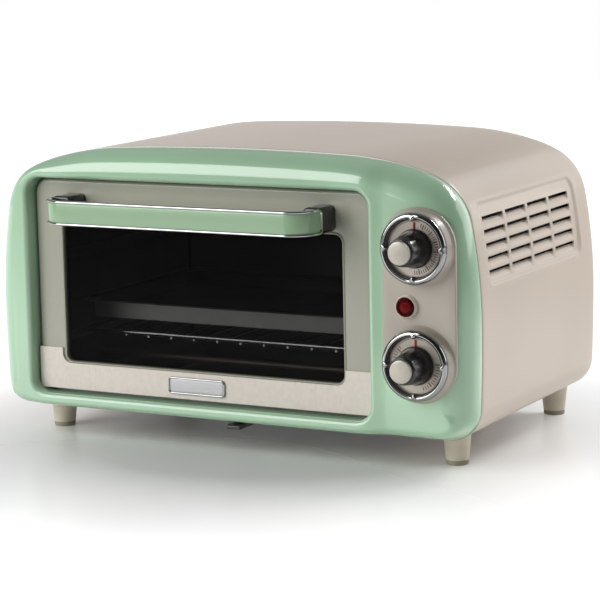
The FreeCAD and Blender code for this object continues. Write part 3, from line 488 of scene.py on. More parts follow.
finishes |= {
    "grip_black": moulded("grip_black", (0.008, 0.008, 0.009, 1), 0.17, 0.0008, 1200.0, 0.2),
    "black_plastic": moulded("bracket_black", (0.012, 0.012, 0.012, 1), 0.22, 0.05, 1500.0, 0.3),
    "foot_plastic": moulded("foot_plastic", linear(206, 197, 178), 0.42, 0.10, 1800.0),
    "foot_rubber": moulded("foot_rubber", linear(150, 144, 128), 0.62, 0.2, 900.0),
    "terminal_nylon": moulded("terminal_nylon", linear(225, 222, 210), 0.45),
    "ceramic": moulded("heater_ceramic", linear(222, 214, 198), 0.55, 0.18, 700.0),
    "pointer_red": moulded("pointer_red", linear(190, 26, 52), 0.35),
    "lamp_white": moulded("collar_ivory", linear(214, 207, 194), 0.25, 0.04, 1500.0, 0.3),
    "tray_enamel": tray_finish("tray_enamel"),
    "window_glass": tinted_glass("window_glass", (0.002, 0.002, 0.0018, 1), 0.50),
}
print("finishes", len(finishes))

# %% [markdown]
# ## Dials, caps and the lamp
#
# A dial is spun metal: its grain runs in circles, so the noise is read along the radius only. The
# scale is printed on it as short strokes, at even angles over part of the turn, found by comparing the
# angle round the dial's own centre with its nearest stroke.

# %% Dial finish
KNOB_X, TIMER_Z, THERMOSTAT_Z = 154.8, 158.2, 78.7
LAMP_X, LAMP_Z = 146.0, 117.5


def dial_finish(name, z, arcs, pitch):
    """Spun metal with printed strokes.

    radius = sqrt(x^2 + z^2); angle = atan2(x, z), clockwise from the top in degrees. A stroke shows
    where the radius is inside the scale's band and the angle is within its half width of a multiple
    of `pitch`, and inside one of the arcs (from, to)."""
    f = Finish(name, Metallic=0.55, Specular_IOR_Level=0.5)
    x, up, radius = f.about(KNOB_X, z)
    angle = f.sum("WRAP", f.sum("DEGREES", f.sum("ARCTAN2", x, up)), 360.0, 0.0)
    off_stroke = f.sum("PINGPONG", angle, pitch / 2)
    stroke = f.ramp(off_stroke, 0.9, 1.7, 1.0, 0.0)
    band = f.sum("MULTIPLY", f.ramp(radius, 15.0, 15.2), f.ramp(radius, 17.6, 17.8, 1.0, 0.0))
    long_band = f.sum("MULTIPLY", f.ramp(radius, 14.0, 14.2), f.ramp(radius, 17.6, 17.8, 1.0, 0.0))
    off_long = f.sum("PINGPONG", angle, pitch * 2)
    long_stroke = f.sum("MULTIPLY", f.ramp(off_long, 1.4, 2.2, 1.0, 0.0), long_band)
    inside = 0.0
    for start, end in arcs:
        inside = f.sum("ADD", inside, f.sum("MULTIPLY", f.ramp(angle, start - 0.5, start),
                                            f.ramp(angle, end, end + 0.5, 1.0, 0.0)), clamp=True)
    strokes = f.sum("ADD", f.sum("MULTIPLY", stroke, band), long_stroke, clamp=True)
    print_mask = f.sum("MULTIPLY", strokes, inside)
    rings = f.node("CombineXYZ", X=radius)
    grain = f.node("TexNoise", Vector=rings.outputs[0], Scale=3.2, Detail=4.0, Roughness=0.7).outputs["Fac"]
    metal = f.tint(f.ramp(grain, 0.3, 0.7), linear(150, 143, 132), linear(184, 177, 166))
    f.colour(f.tint(f.sum("MULTIPLY", print_mask, 0.85), metal, linear(62, 40, 34)))
    f.roughness(f.ramp(grain, 0.3, 0.7, 0.30, 0.44))
    f.relief(grain, 0.25, 0.00006)
    return f.material


def cap_finish(name):
    """Satin metal with the faint rings of a lathe and a broad cloud of fingerprints."""
    f = Finish(name, Metallic=0.35, Coat_Weight=0.2)
    print_cloud = f.noise(120.0, 4.0, 0.6)
    f.colour(f.tint(f.ramp(print_cloud, 0.3, 0.7), linear(172, 166, 155), linear(186, 180, 168)))
    f.roughness(f.ramp(print_cloud, 0.3, 0.7, 0.26, 0.42))
    f.relief(f.noise(2600.0, 3.0), 0.08, 0.00005)
    return f.material


def lamp_finish(name, colour, cover):
    """Dyed clear plastic: deep colour, a wet gloss and faint flow clouds inside.

    The colour is lighter over the flat middle and almost black in the ring about it: it falls to a fifth between
    3.2 and 4.2 mm from the lamp's centre line."""
    f = Finish(name, Coat_Weight=0.06, Coat_Roughness=0.03, Specular_IOR_Level=0.06, Alpha=cover)
    flow = f.noise(300.0, 2.0)
    _, _, radius = f.about(LAMP_X, LAMP_Z)
    depth = f.tint(f.ramp(radius, 3.2, 4.2), colour, shade(colour, 0.2))
    f.colour(f.tint(f.ramp(flow, 0.3, 0.7), depth, shade(colour, 0.5)))
    f.roughness(f.ramp(flow, 0.3, 0.7, 0.08, 0.2))
    f.relief(f.noise(700.0, 1.0), 0.05, 0.0002)
    return f.material


TIMER_ARCS, THERMOSTAT_ARCS = [(14, 182)], [(82, 166), (286, 316)]     # degrees, clockwise from the top
DIALS = {
    "timer": (TIMER_Z, dial_finish("timer_dial_metal", TIMER_Z, TIMER_ARCS, 6.0)),
    "thermostat": (THERMOSTAT_Z, dial_finish("thermostat_dial_metal", THERMOSTAT_Z, THERMOSTAT_ARCS, 7.0)),
}
finishes |= {
    "dial_metal": DIALS["timer"][1],
    "cap_silver": cap_finish("cap_silver"),
    "lamp_red": lamp_finish("lamp_red", (0.17, 0.0008, 0.0014, 1), 1.0),
    "lamp_glass": lamp_finish("neon_glass", (0.75, 0.32, 0.2, 1), 0.6),
}
print("all finishes", len(finishes))

# %% [markdown]
# ## Dressing the model's own parts
#
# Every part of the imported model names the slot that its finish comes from. Most shapes are right as
# they are, so they only take their finish.

# %% Dress the nodes
nodes = frame["nodes"]
slot_of = {part["node"]: part["material_slot"] for part in frame["record"]["subparts"]}
for name, node in nodes.items():
    node.data.materials.clear()
    node.data.materials.append(finishes[slot_of[name]])
nodes["thermostat_dial"].data.materials[0] = DIALS["thermostat"][1]
print("dressed", len(nodes), "nodes in", len(set(slot_of.values())), "slots")


def fit(piece, body, slot, *stands_for, material=None):
    """Gives a new piece its finish, its body and the nodes that it stands for."""
    piece.data.materials.clear()
    piece.data.materials.append(material or finishes[slot])
    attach(piece, body)
    if stands_for:
        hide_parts(*stands_for)
    return piece

# %% [markdown]
# ## The green front
#
# The front is one pressing: it starts at the casing's edge, rolls forward over a broad soft rounding,
# runs flat to the door's opening and folds back inside it. It could be cut from a block and rounded
# with a bevel, but the rounding is wider at the top than underneath, so it is lofted: each row joins
# a point of the outline to the matching point of the opening, and the depth follows an ellipse.

# %% Outline and opening, matched point for point
SEAM = 17.2                                                  # where the front meets the casing
OPENING = (-159.4, 117.2, 35.4, 194.4)                       # left, right, bottom, top
OPENING_CORNER, OPENING_EDGE = 11.0, 3.6                     # corner radius, and the round of its edge
ROLL_INSET, ROLL_DEPTH = 19.0, 21.0                          # the broad rounding, across and back
HEEL_INSET, HEEL_DEPTH = 10.0, 25.0                          # the same along the bottom
CROWN_STEPS, SHOULDER_STEPS, SIDE_STEPS, HEEL_STEPS, FLAT_STEPS = (26, 16, 12), 36, (22, 12), 24, 24


def mirrored(right_x, left_x, z, heading):
    """A right half and its left half, as one loop: the left runs back with the heading turned round."""
    return (np.concatenate([right_x, left_x[-2:0:-1]]), np.concatenate([z, z[-2:0:-1]]),
            np.concatenate([heading, 2 * math.pi - heading[-2:0:-1]]))


def outline_loop():
    """The body's outline clockwise from the crown, as x, z and heading."""
    x, z, heading = half_outline(UNDERSIDE, (*CROWN_STEPS, SHOULDER_STEPS, *SIDE_STEPS, HEEL_STEPS))
    flat = np.linspace(1, 0, FLAT_STEPS)[1:]
    x, z = np.concatenate([x, x[-1] * flat]), np.concatenate([z, z[-1] + 0 * flat])
    return mirrored(x, -x, z, np.concatenate([heading, math.pi + 0 * flat]))


def opening_near(x, z):
    """For each outline point, the nearest point of a rounded rectangle, and the direction out to it.

    The point is clamped to the rectangle less its corners; what is left over, made one unit long, is
    the direction; the nearest point is the clamped point plus the direction times the corner radius."""
    left, right, bottom, top = OPENING
    corner = OPENING_CORNER
    inner_x, inner_z = np.clip(x, left + corner, right - corner), np.clip(z, bottom + corner, top - corner)
    inner = np.stack([inner_x, inner_z], -1)
    away = np.stack([x, z], -1) - inner
    away = away / np.linalg.norm(away, axis=-1, keepdims=True)
    return inner + away * corner, away


def front_depth(x):
    """Depth of the front's face: 9 mm forward round the door, easing back 2.4 mm beside it."""
    return -9.0 + 2.4 * smooth_step(x, 113, 129)


# %% The front's skin
def front_skin():
    """Outer rounding: inset R (1 - cos a), depth F + H (1 - sin a) for a from 0 to 90 degrees.

    R is 19 mm, less along the bottom or where the opening leaves less room. Then straight to the
    opening, whose edge has a quarter round, and back along the sleeve."""
    x, z, heading = outline_loop()
    edge = OPENING_EDGE
    hole, away = opening_near(x, z)
    room = np.linalg.norm(np.stack([x, z], -1) - hole, axis=-1) - edge - 0.4
    x, z, heading, room = (line[:, None] for line in (x, z, heading, room))
    under = smooth_step(-np.abs(np.degrees(heading) - 180), -88, -40)   # 1 along the bottom
    inset = ROLL_INSET + (HEEL_INSET - ROLL_INSET) * under
    depth = ROLL_DEPTH + (HEEL_DEPTH - ROLL_DEPTH) * under
    inset = inset - 3.0 * np.logaddexp(0, (inset - room) / 3.0)
    angle = np.linspace(0, np.pi / 2, 24)[None, :]
    inward = inset * (1 - np.cos(angle))
    roll_x, roll_z = x - inward * np.sin(heading), z - inward * np.cos(heading)
    roll_y = front_depth(roll_x) + depth * (1 - np.sin(angle))
    roll_z = roll_z + 1.5 * under * (1 - smooth_step(roll_y, 3, 15)) * (1 - np.sin(angle))
    bend = np.linspace(0, np.pi / 2, 9)[None, :]
    out = edge * (1 - np.sin(bend))
    lip_x, lip_z = hole[:, :1] + out * away[:, :1], hole[:, 1:] + out * away[:, 1:]
    lip_y = front_depth(lip_x) + edge * (1 - np.cos(bend))
    share = np.linspace(0, 1, 26)[None, 1:-1]
    flat_x = roll_x[:, -1:] + (lip_x[:, :1] - roll_x[:, -1:]) * share
    flat_z = roll_z[:, -1:] + (lip_z[:, :1] - roll_z[:, -1:]) * share
    tail = [(3.0, SEAM + 5.0), (3.0, SEAM + 0.1), (1.0, SEAM), (0.35, SEAM - 0.25), (0.0, SEAM - 0.8)]
    tail_x = np.concatenate([x - back * np.sin(heading) for back, _ in tail], 1)
    tail_z = np.concatenate([z - back * np.cos(heading) for back, _ in tail], 1)
    tail_y = np.broadcast_to([at for _, at in tail], tail_x.shape)
    sleeve = np.array([[4.0, 9.3]])
    grid_x = np.concatenate([tail_x, roll_x, flat_x, lip_x, hole[:, :1] + 0 * sleeve], 1)
    grid_z = np.concatenate([tail_z, roll_z, flat_z, lip_z, hole[:, 1:] + 0 * sleeve], 1)
    grid_y = np.concatenate([tail_y, roll_y, front_depth(flat_x), lip_y, sleeve + 0 * x], 1)
    return place(grid_x, grid_y, grid_z)


front = skin("front_pressing", front_skin(), wrap_rows=True, toward=(0, -1, 0))
modify(front, "SOLIDIFY", "wall", thickness=1.6 * MM, offset=-1.0)
fit(front, "casing", "front_green", "front_fascia")
print("front", len(front.data.vertices), "points")

# %% [markdown]
# ## The control strip
#
# The two dials sit in tapered cups on one long plate with round ends. The plate is a stack of loops
# that shrink towards its middle line; each cup is a profile turned about the dial's own centre line
# and carried down into the plate by a fillet.

# %% Strip and cups
STRIP_RADIUS = 27.3
CUP = [(27.25, -6.9), (26.6, -7.35), (25.9, -8.6), (25.0, -13.4), (24.7, -14.5), (24.1, -14.7), (22.0, -14.7),
       (20.9, -14.4), (20.8, -11.4), (19.0, -11.4)]


def stadium(inset, steps=48):
    """Loop at a distance inside the plate's edge: two half circles joined by straight sides."""
    angle = np.linspace(-np.pi / 2, np.pi / 2, steps)
    radius = STRIP_RADIUS - inset
    x = np.concatenate([radius * np.sin(angle), -radius * np.sin(angle)])
    z = np.concatenate([TIMER_Z + radius * np.cos(angle), THERMOSTAT_Z - radius * np.cos(angle)])
    return KNOB_X + x, z


def strip_skins():
    """The plate as shrinking loops, and a cup about each dial."""
    rolled = [(0.0, -4.6), (0.0, -6.3), (0.15, -6.75), (0.5, -7.05), (1.1, -7.2), (6.0, -7.2), (16.0, -7.2),
              (STRIP_RADIUS, -7.2)]
    loops = [place(stadium(inset)[0], depth, stadium(inset)[1]) for inset, depth in rolled]
    parts = [(np.stack(loops), False, True, (0, -1, 0), None)]
    for z in (TIMER_Z, THERMOSTAT_Z):
        radius, depth = rounded_profile(CUP, 0.45, 4).T
        parts.append((turned(KNOB_X, z, radius, depth, 128), False, True, (0, -1, 0), None))
    return parts


strip = weld(skins("control_panel", strip_skins()))
fit(strip, "casing", "strip_beige", "control_strip")
print("strip", len(strip.data.vertices), "points")

# %% [markdown]
# ## Bezels with four claws
#
# A chromed ring holds each dial. It is a ring with a rounded front, a sharp inner wall and four small
# claws. The claws come from the same grid: near four angles the ring grows inwards and forwards by a
# bell curve, so they blend into the ring as cast metal does.

# %% Chromed bezels


def bezel_grid(z):
    """Closed section carried round: radius and depth from a list, plus bell(angle) times a reach."""
    section = np.array([(24.3, -13.6), (24.3, -15.2), (24.0, -16.3), (23.2, -17.1), (22.2, -17.5), (21.4, -17.4),
                        (20.8, -16.9), (20.5, -16.2), (20.3, -15.4), (19.9, -15.0), (19.6, -14.6), (19.5, -13.2),
                        (20.4, -12.9), (22.5, -13.2)])
    reach = np.interp(np.arange(len(section)), [0, 3, 6, 9, 11, 13], [0, 0.2, 1.0, 1.0, 0.4, 0])[:, None]
    angle = np.linspace(0, 2 * np.pi, 288, endpoint=False)[None, :]
    off = (angle + np.pi / 4) % (np.pi / 2) - np.pi / 4
    bell = np.exp(-(off / math.radians(3.6)) ** 4)
    radius = section[:, :1] - 1.7 * reach * bell + 0 * angle
    depth = section[:, 1:] - 0.8 * reach * bell
    return place(KNOB_X + radius * np.sin(angle), depth, z + radius * np.cos(angle))


# Painted shade: chrome with its tone lowered to 0.34, so that the rings and the badge's rim reflect darker than
# bright chrome.
shaded_ring_chrome = chromed("shaded_ring_chrome", 0.34, 0.02)
for knob, (z, _) in DIALS.items():
    bezel = skin(f"{knob}_ring", bezel_grid(z), wrap_rows=True, wrap_columns=True)
    modify(bezel, "SUBSURF", "smooth", levels=1, render_levels=1)
    fit(bezel, "casing", "bright_chrome", f"{knob}_bezel", material=shaded_ring_chrome)
print("bezels with claws every 90 degrees")

# %% [markdown]
# ## Dials, grips and caps
#
# Each dial is a spun disc with a raised lip. The grip is a cone with twelve shallow flutes: its radius
# is reduced by a cosine of twelve times the angle, fading out at both ends, and it stands on a wider
# collar. The cap is a slightly domed button with a crisp edge. Poles are welded closed.

# %% Knob parts


def grip_grid(z):
    """Radius R(depth) less 0.22 mm ((1 + cos 12 angle) / 2)^2, faded towards the cone's two ends."""
    outer = rounded_profile([(2.0, -13.1), (13.4, -13.1), (13.4, -14.6), (12.5, -15.6), (11.2, -24.0), (9.7, -33.6),
                             (8.9, -35.0), (2.0, -35.0)], [0, 0.4, 0.7, 0.7, 2.0, 1.2, 0.6, 0], 7)
    radius, depth = outer[:, :1], outer[:, 1:]
    angle = np.linspace(0, 2 * np.pi, 192, endpoint=False)[None, :]
    fade = smooth_step(-depth, 15.6, 18.0) * (1 - smooth_step(-depth, 31.0, 33.8))
    radius = radius - 0.22 * fade * (0.5 + 0.5 * np.cos(12 * angle)) ** 2
    return place(KNOB_X + radius * np.sin(angle), depth + 0 * angle, z + radius * np.cos(angle))


def knob_parts(knob, z):
    """One knob's dial, grip, cap and pointer, each as its own piece."""
    dial_line = rounded_profile([(19.4, -11.6), (19.4, -13.2), (18.7, -13.2), (18.4, -12.75), (5.0, -12.9),
                                 (5.0, -11.6)], 0.15, 4)
    dial = skin(f"{knob}_scale", turned(KNOB_X, z, *dial_line.T, 128), wrap_columns=True, wrap_rows=True)
    fit(dial, "casing", "dial_metal", f"{knob}_dial", material=DIALS[knob][1])
    grip = skin(f"{knob}_handgrip", grip_grid(z), wrap_columns=True, wrap_rows=True)
    fit(grip, f"{knob}_knob", "grip_black", f"{knob}_grip")
    dome = np.linspace(0, 1, 9)
    cap_line = np.concatenate([[(0.01, -34.9), (8.0, -34.9), (8.0, -37.0), (7.9, -37.25), (7.65, -37.42)],
                               np.stack([7.4 * (1 - dome) + 0.01, -37.5 - 0.45 * (1 - (1 - dome) ** 2)], -1)])
    cap = weld(skin(f"{knob}_button", turned(KNOB_X, z, *cap_line.T, 96), wrap_columns=True))
    fit(cap, f"{knob}_knob", "cap_silver", f"{knob}_cap")
    across = np.linspace(0, 2 * np.pi, 24, endpoint=False)[None, :]
    along = np.linspace(0, 1, 13)[:, None]
    swell = np.sqrt(np.clip(1 - (2 * along - 1) ** 8, 0.0004, 1))
    line = place(KNOB_X + 0.62 * swell * np.cos(across), -13.35 + 0.42 * swell * np.sin(across),
                 z + 12.6 + 5.4 * along + 0 * across)
    pointer = weld(skin(f"{knob}_mark", line, wrap_columns=True), 3e-5)
    fit(pointer, f"{knob}_knob", "pointer_red", f"{knob}_pointer")


for knob, (z, _) in DIALS.items():
    knob_parts(knob, z)
print("knobs built")

# %% [markdown]
# ## The indicator lamp
#
# A red lens in an ivory collar. The lens has a raised ring and a flat middle, with facets pressed into
# its slope so that it glints: the radius steps in and out in sixteen small teeth.

# %% Lamp


def lamp_parts():
    """Collar as a turned profile; lens the same, with 0.22 mm cos(16 angle) added on its slope."""
    collar_line = rounded_profile([(8.3, -7.0), (8.1, -8.6), (7.6, -9.7), (6.95, -9.9), (6.75, -9.2), (6.7, -7.6)],
                                  [0, 0.5, 0.45, 0.25, 0.3, 0], 5)
    collar = skin("lamp_collar", turned(LAMP_X, LAMP_Z, *collar_line.T), wrap_columns=True, toward=(0, -1, 0))
    modify(collar, "SOLIDIFY", "wall", thickness=0.4 * MM, offset=-1.0)
    fit(collar, "casing", "lamp_white", "indicator_bezel")
    line = rounded_profile([(6.65, -8.0), (6.65, -10.4), (6.0, -11.6), (5.0, -12.1), (4.3, -11.3), (3.6, -11.0),
                            (0.01, -11.3)], [0, 0.6, 0.6, 0.4, 0.5, 0.4, 0], 5)
    radius, depth = line[:, :1], line[:, 1:]
    angle = np.linspace(0, 2 * np.pi, 128, endpoint=False)[None, :]
    slope = smooth_step(radius, 3.4, 4.4) * (1 - smooth_step(radius, 5.6, 6.5))
    depth = depth + 0.22 * slope * np.cos(16 * angle)
    lens_grid = place(LAMP_X + radius * np.sin(angle), depth, LAMP_Z + radius * np.cos(angle))
    lens = weld(skin("lamp_lens", lens_grid, wrap_columns=True, toward=(0, -1, 0)))
    fit(lens, "casing", "lamp_red", "indicator_lens")


lamp_parts()
print("lamp at", LAMP_X, LAMP_Z)

# %% [markdown]
# ## The casing
#
# One sheet of steel is rolled round the body. Its skin is the outline carried from front to back, with
# the front edge rolled in towards the green pressing and the rear edge turned in as a flange. The
# right side has a pressed field of louvres. There the coarse skin is left open, and a finer patch fills
# the gap: its grid lines fall on the edges of the slots, so the slots are just quads left out.

# %% Casing shell
CASING_FRONT, CASING_BACK = 17.6, 225.0
LOUVRE_Y, LOUVRE_Z = (33.0, 201.5), (127.0, 185.0)
SLOT_TOP, SLOT_PITCH, SLOT_HIGH, SLOT_ROWS = 174.8, 9.2, 2.3, 5
SLOT_START, SLOT_LONG, SLOT_STEP, SLOT_COLUMNS = 37.5, 35.5, 39.5, 4
FIELD_MARGIN = 1.5                                           # the fine patch past the field's edges


def casing_loop():
    """The outline with points added at the louvre field's top and bottom on the right side."""
    x, z, heading = outline_loop()
    side = np.arange(sum(CROWN_STEPS) - 2, sum(CROWN_STEPS) + SHOULDER_STEPS + sum(SIDE_STEPS) + 2)
    low, high = LOUVRE_Z[0] - FIELD_MARGIN, LOUVRE_Z[1] + FIELD_MARGIN
    for level in (high, low):
        at = int(np.searchsorted(-z[side], -level)) + side[0]
        x_at, turn_at = (np.interp(level, z[side][::-1], line[side][::-1]) for line in (x, heading))
        x, z, heading = np.insert(x, at, x_at), np.insert(z, at, level), np.insert(heading, at, turn_at)
        side = np.arange(side[0], side[-1] + 2)
    return x, z, heading


casing_x, casing_z, casing_turn = casing_loop()


def casing_shell():
    """Outline less an inset along its normal, per (inset, depth) of the section; the field's quads go."""
    field_y = (LOUVRE_Y[0] - FIELD_MARGIN, LOUVRE_Y[1] + FIELD_MARGIN)
    section = np.array([(3.2, 20.5), (2.2, CASING_FRONT + 0.6), (0.9, CASING_FRONT), (0.3, CASING_FRONT + 0.15),
                        (0.0, CASING_FRONT + 0.8), (0.0, 22.0), (0.0, field_y[0]), (0, 50), (0, 75), (0, 100),
                        (0, 125), (0, 150), (0, 175), (0.0, field_y[1]), (0, 212), (0.0, CASING_BACK - 2.6),
                        (0.35, CASING_BACK - 1.2), (1.2, CASING_BACK - 0.35), (2.6, CASING_BACK),
                        (9.0, CASING_BACK), (9.6, CASING_BACK - 0.4), (9.8, CASING_BACK - 1.2)])
    inset, depth = section[None, :, 0], section[None, :, 1]
    turn, x, z = casing_turn[:, None], casing_x[:, None], casing_z[:, None]
    grid = place(x - inset * np.sin(turn), depth, z - inset * np.cos(turn))
    mid_z = (casing_z + np.roll(casing_z, -1)) / 2
    low, high = LOUVRE_Z[0] - FIELD_MARGIN, LOUVRE_Z[1] + FIELD_MARGIN
    on_side = (casing_x > 150) & (mid_z > low) & (mid_z < high)
    mid_y = (depth[0, 1:] + depth[0, :-1]) / 2
    hole = on_side[:, None] & (mid_y > field_y[0])[None, :] & (mid_y < field_y[1])[None, :]
    return grid, ~hole


shell_grid, shell_keep = casing_shell()
shell = skin("casing_shell", shell_grid, wrap_rows=True, keep=shell_keep)
modify(shell, "SOLIDIFY", "sheet", thickness=1.0 * MM, offset=-1.0)
fit(shell, "casing", "casing_enamel", "outer_casing")
print("casing", len(shell.data.polygons), "faces")

# %% [markdown]
# ## Louvres
#
# Under each slot the press has pushed the sheet inwards, deepest at the slot and fading out below it,
# with rounded ends. The whole field is set in by a shallow step. Both are depths taken off the side
# along its normal, so they add up.

# %% Louvre field
ON_SIDE = slice(sum(CROWN_STEPS), sum(CROWN_STEPS) + SHOULDER_STEPS + sum(SIDE_STEPS))
FIELD_CORNER, FIELD_STEP, FIELD_BLEND = 7.0, 1.6, 2.6        # how the field is set in
SCOOP_DEPTH, SCOOP_REACH = 3.2, 5.6                          # the hollow under each slot


def side_at(z):
    """How far out the right side is at a height, and its heading, read between the outline's points."""
    return (np.interp(z, casing_z[ON_SIDE][::-1], line[ON_SIDE][::-1]) for line in (casing_x, casing_turn))


def cut_lines(start, stop, edges, fine, coarse):
    """Grid lines from start to stop: `fine` apart near each edge, `coarse` elsewhere, edges included."""
    near = [edge + offset * fine for edge in edges for offset in range(-4, 5)]
    wide = np.arange(start, stop, coarse)
    lines = np.unique(np.round(np.concatenate([[start, stop], near, wide, edges]), 3))
    lines = lines[(lines >= start) & (lines <= stop)]
    sure = np.concatenate([[start, stop], edges])
    apart = np.abs(lines[:, None] - sure[None, :]).min(1)
    return lines[(apart < 1e-6) | (apart > fine * 0.6)]


def louvre_patch():
    """Depth = 1.6 mm inside the field + scoops of 3.2 (1 - t)^2 mm, t running 5.6 mm down from a slot."""
    tops = SLOT_TOP - SLOT_PITCH * np.arange(SLOT_ROWS)
    starts = SLOT_START + SLOT_STEP * np.arange(SLOT_COLUMNS)
    z_edges = np.sort(np.concatenate([tops, tops - SLOT_HIGH]))
    y_edges = np.sort(np.concatenate([starts, starts + SLOT_LONG]))
    z = cut_lines(LOUVRE_Z[0] - FIELD_MARGIN, LOUVRE_Z[1] + FIELD_MARGIN, z_edges, 0.5, 1.0)[:, None]
    y = cut_lines(LOUVRE_Y[0] - FIELD_MARGIN, LOUVRE_Y[1] + FIELD_MARGIN, y_edges, 0.6, 1.6)[None, :]
    x_at, turn = side_at(z)
    half_y, half_z = np.diff(LOUVRE_Y)[0] / 2, np.diff(LOUVRE_Z)[0] / 2
    over_y = np.maximum(np.abs(y - sum(LOUVRE_Y) / 2) - half_y + FIELD_CORNER, 0)
    over_z = np.maximum(np.abs(z - sum(LOUVRE_Z) / 2) - half_z + FIELD_CORNER, 0)
    inside = FIELD_CORNER - np.hypot(over_y, over_z)
    depth = FIELD_STEP * smooth_step(inside, 0.0, FIELD_BLEND)
    for start in starts:
        stop = start + SLOT_LONG
        ends = smooth_step(y, start - 0.6, start + 2.4) * (1 - smooth_step(y, stop - 2.4, stop + 0.6))
        for top in tops:
            t = np.clip((top - SLOT_HIGH - z) / SCOOP_REACH, 0, 1)
            below = np.where(z <= top - SLOT_HIGH + 1e-6, (1 - t) ** 2, 0)
            depth = depth + SCOOP_DEPTH * ends * below
    grid = place(x_at - depth * np.sin(turn), y + 0 * z, z - depth * np.cos(turn))
    mid_z, mid_y = (z[1:, 0] + z[:-1, 0]) / 2, (y[0, 1:] + y[0, :-1]) / 2
    open_z = ((mid_z[:, None] < tops) & (mid_z[:, None] > tops - SLOT_HIGH)).any(1)
    open_y = ((mid_y[:, None] > starts) & (mid_y[:, None] < starts + SLOT_LONG)).any(1)
    return grid, ~(open_z[:, None] & open_y[None, :])


louvre_grid, louvre_keep = louvre_patch()
louvres = skin("louvre_field", louvre_grid, keep=louvre_keep, toward=(1, 0, 0))
modify(louvres, "SOLIDIFY", "sheet", thickness=1.0 * MM, offset=-1.0)
fit(louvres, "casing", "casing_enamel", "outer_casing")


def louvre_shade_sheet():
    """A near-black sheet 8 mm behind the field, following the side, with ribs 0.4 mm high every 12 mm: painted
    shade seen through the slots.
    """
    z = np.linspace(LOUVRE_Z[0] - 6, LOUVRE_Z[1] + 3, 30)[:, None]
    y = np.linspace(LOUVRE_Y[0] - 4, LOUVRE_Y[1] + 6, 160)[None, :]
    x_at, turn = side_at(z)
    inset = 8.0 + 0.4 * np.cos(2 * np.pi * y / 12.0)
    return place(x_at - inset * np.sin(turn), y + 0 * z, z - inset * np.cos(turn))


shade_sheet = skin("louvre_shade_sheet", louvre_shade_sheet(), toward=(1, 0, 0))
modify(shade_sheet, "SOLIDIFY", "sheet", thickness=0.5 * MM, offset=-1.0)
# Painted shade: a near-black matt sheet seen through the slots in place of the dark inside.
shade_sheet_black = moulded("shade_sheet_black", (0.004, 0.004, 0.004, 1), 0.8, 0.1, 500.0)
fit(shade_sheet, "casing", "black_plastic", material=shade_sheet_black)
print("louvres", louvre_grid.shape[:2], "lines,", int((~louvre_keep).sum()), "quads open")

# %% [markdown]
# ## The handle
#
# A flat band bows out from the door and bends back at both ends. It carries a chromed bead all round
# its edge. Both follow one path in plan: a straight front, two quarter circles and two short legs back
# to the door. The band's section
# is a slightly crowned strip. The bead's line is a rounded rectangle drawn on the band, first as
# distance along the path and height, then wrapped on to it.

# %% Handle path
BAND_LEFT, BAND_RIGHT, BAND_FRONT, BAND_END, BOW = -109.5, 69.0, -39.2, -17.5, 19.5
BAND_LOW, BAND_HIGH, BEAD = 164.9, 182.8, 2.2


def band_path(s):
    """Point and outward normal at a distance s along the band's front, from its left end.

    Straight back, quarter circle, straight across, quarter circle, straight back: each stretch is used
    for the s that fall in it."""
    leg = BAND_END - (BAND_FRONT + BOW)
    arc = BOW * np.pi / 2
    marks = np.cumsum([leg, arc, BAND_RIGHT - BAND_LEFT, arc, leg])
    first = np.clip((s - marks[0]) / BOW, 0, np.pi / 2)
    second = np.clip((s - marks[2]) / BOW, 0, np.pi / 2)
    straight = np.clip(s - marks[1], 0, BAND_RIGHT - BAND_LEFT)
    x = BAND_LEFT - BOW * np.cos(first) + straight + BOW * np.sin(second)
    y = BAND_END - np.clip(s, 0, leg) - BOW * np.sin(first)
    y = y + BOW * (1 - np.cos(second)) + np.clip(s - marks[3], 0, leg)
    turn = second - (np.pi / 2 - first)
    return x, y, np.sin(turn), -np.cos(turn), marks[-1]


BAND_LENGTH = band_path(np.zeros(1))[4]


def on_band(s, z, out):
    """A point `out` in front of the band at distance s and height z."""
    x, y, nx, ny, _ = band_path(s)
    return place(x + out * nx, y + out * ny, z)


def handle_band():
    """Section: front crowned by 0.4 mm, flat back 2.6 mm behind, carried along the path, ends closed."""
    low, high = BAND_LOW + BEAD * 0.6, BAND_HIGH - BEAD * 0.6
    up = np.linspace(0, 1, 9)
    z = np.concatenate([low + (high - low) * up, high - (high - low) * up])
    out = np.concatenate([0.4 * np.sin(np.pi * up) - 0.6, np.full(9, -2.6)])
    s = np.concatenate([[0, 0], np.linspace(0, BAND_LENGTH, 150), [BAND_LENGTH, BAND_LENGTH]])[:, None]
    size = np.concatenate([[0.0, 0.7], np.ones(150), [0.7, 0.0]])[:, None]
    z_mid, out_mid = (low + high) / 2, -1.3
    return on_band(s, z_mid + (z - z_mid) * size, out_mid + (out - out_mid) * size)


def bead_loop():
    """Closed line (s, z) of a rounded rectangle round the band, and its normal in that plane."""
    corner = 2.6
    half_s, half_z = BAND_LENGTH / 2 - BEAD / 2, (BAND_HIGH - BAND_LOW - BEAD) / 2
    quarter = np.linspace(0, np.pi / 2, 9)
    s, z, turn = [], [], []
    for k, (sign_s, sign_z) in enumerate(((1, 1), (1, -1), (-1, -1), (-1, 1))):
        angle = quarter + k * np.pi / 2
        s.append(sign_s * (half_s - corner) + corner * np.sin(angle))
        z.append(sign_z * (half_z - corner) + corner * np.cos(angle))
        turn.append(angle)
        if k in (1, 3):
            run = np.linspace(0, 1, 160)[1:-1]
            s.append(sign_s * (half_s - corner) * (1 - 2 * run))
            z.append(np.full(len(run), sign_z * half_z))
            turn.append(np.full(len(run), (k + 1) * np.pi / 2))
    s, z, turn = (np.concatenate(line) for line in (s, z, turn))
    return s + BAND_LENGTH / 2, z + (BAND_LOW + BAND_HIGH) / 2, turn


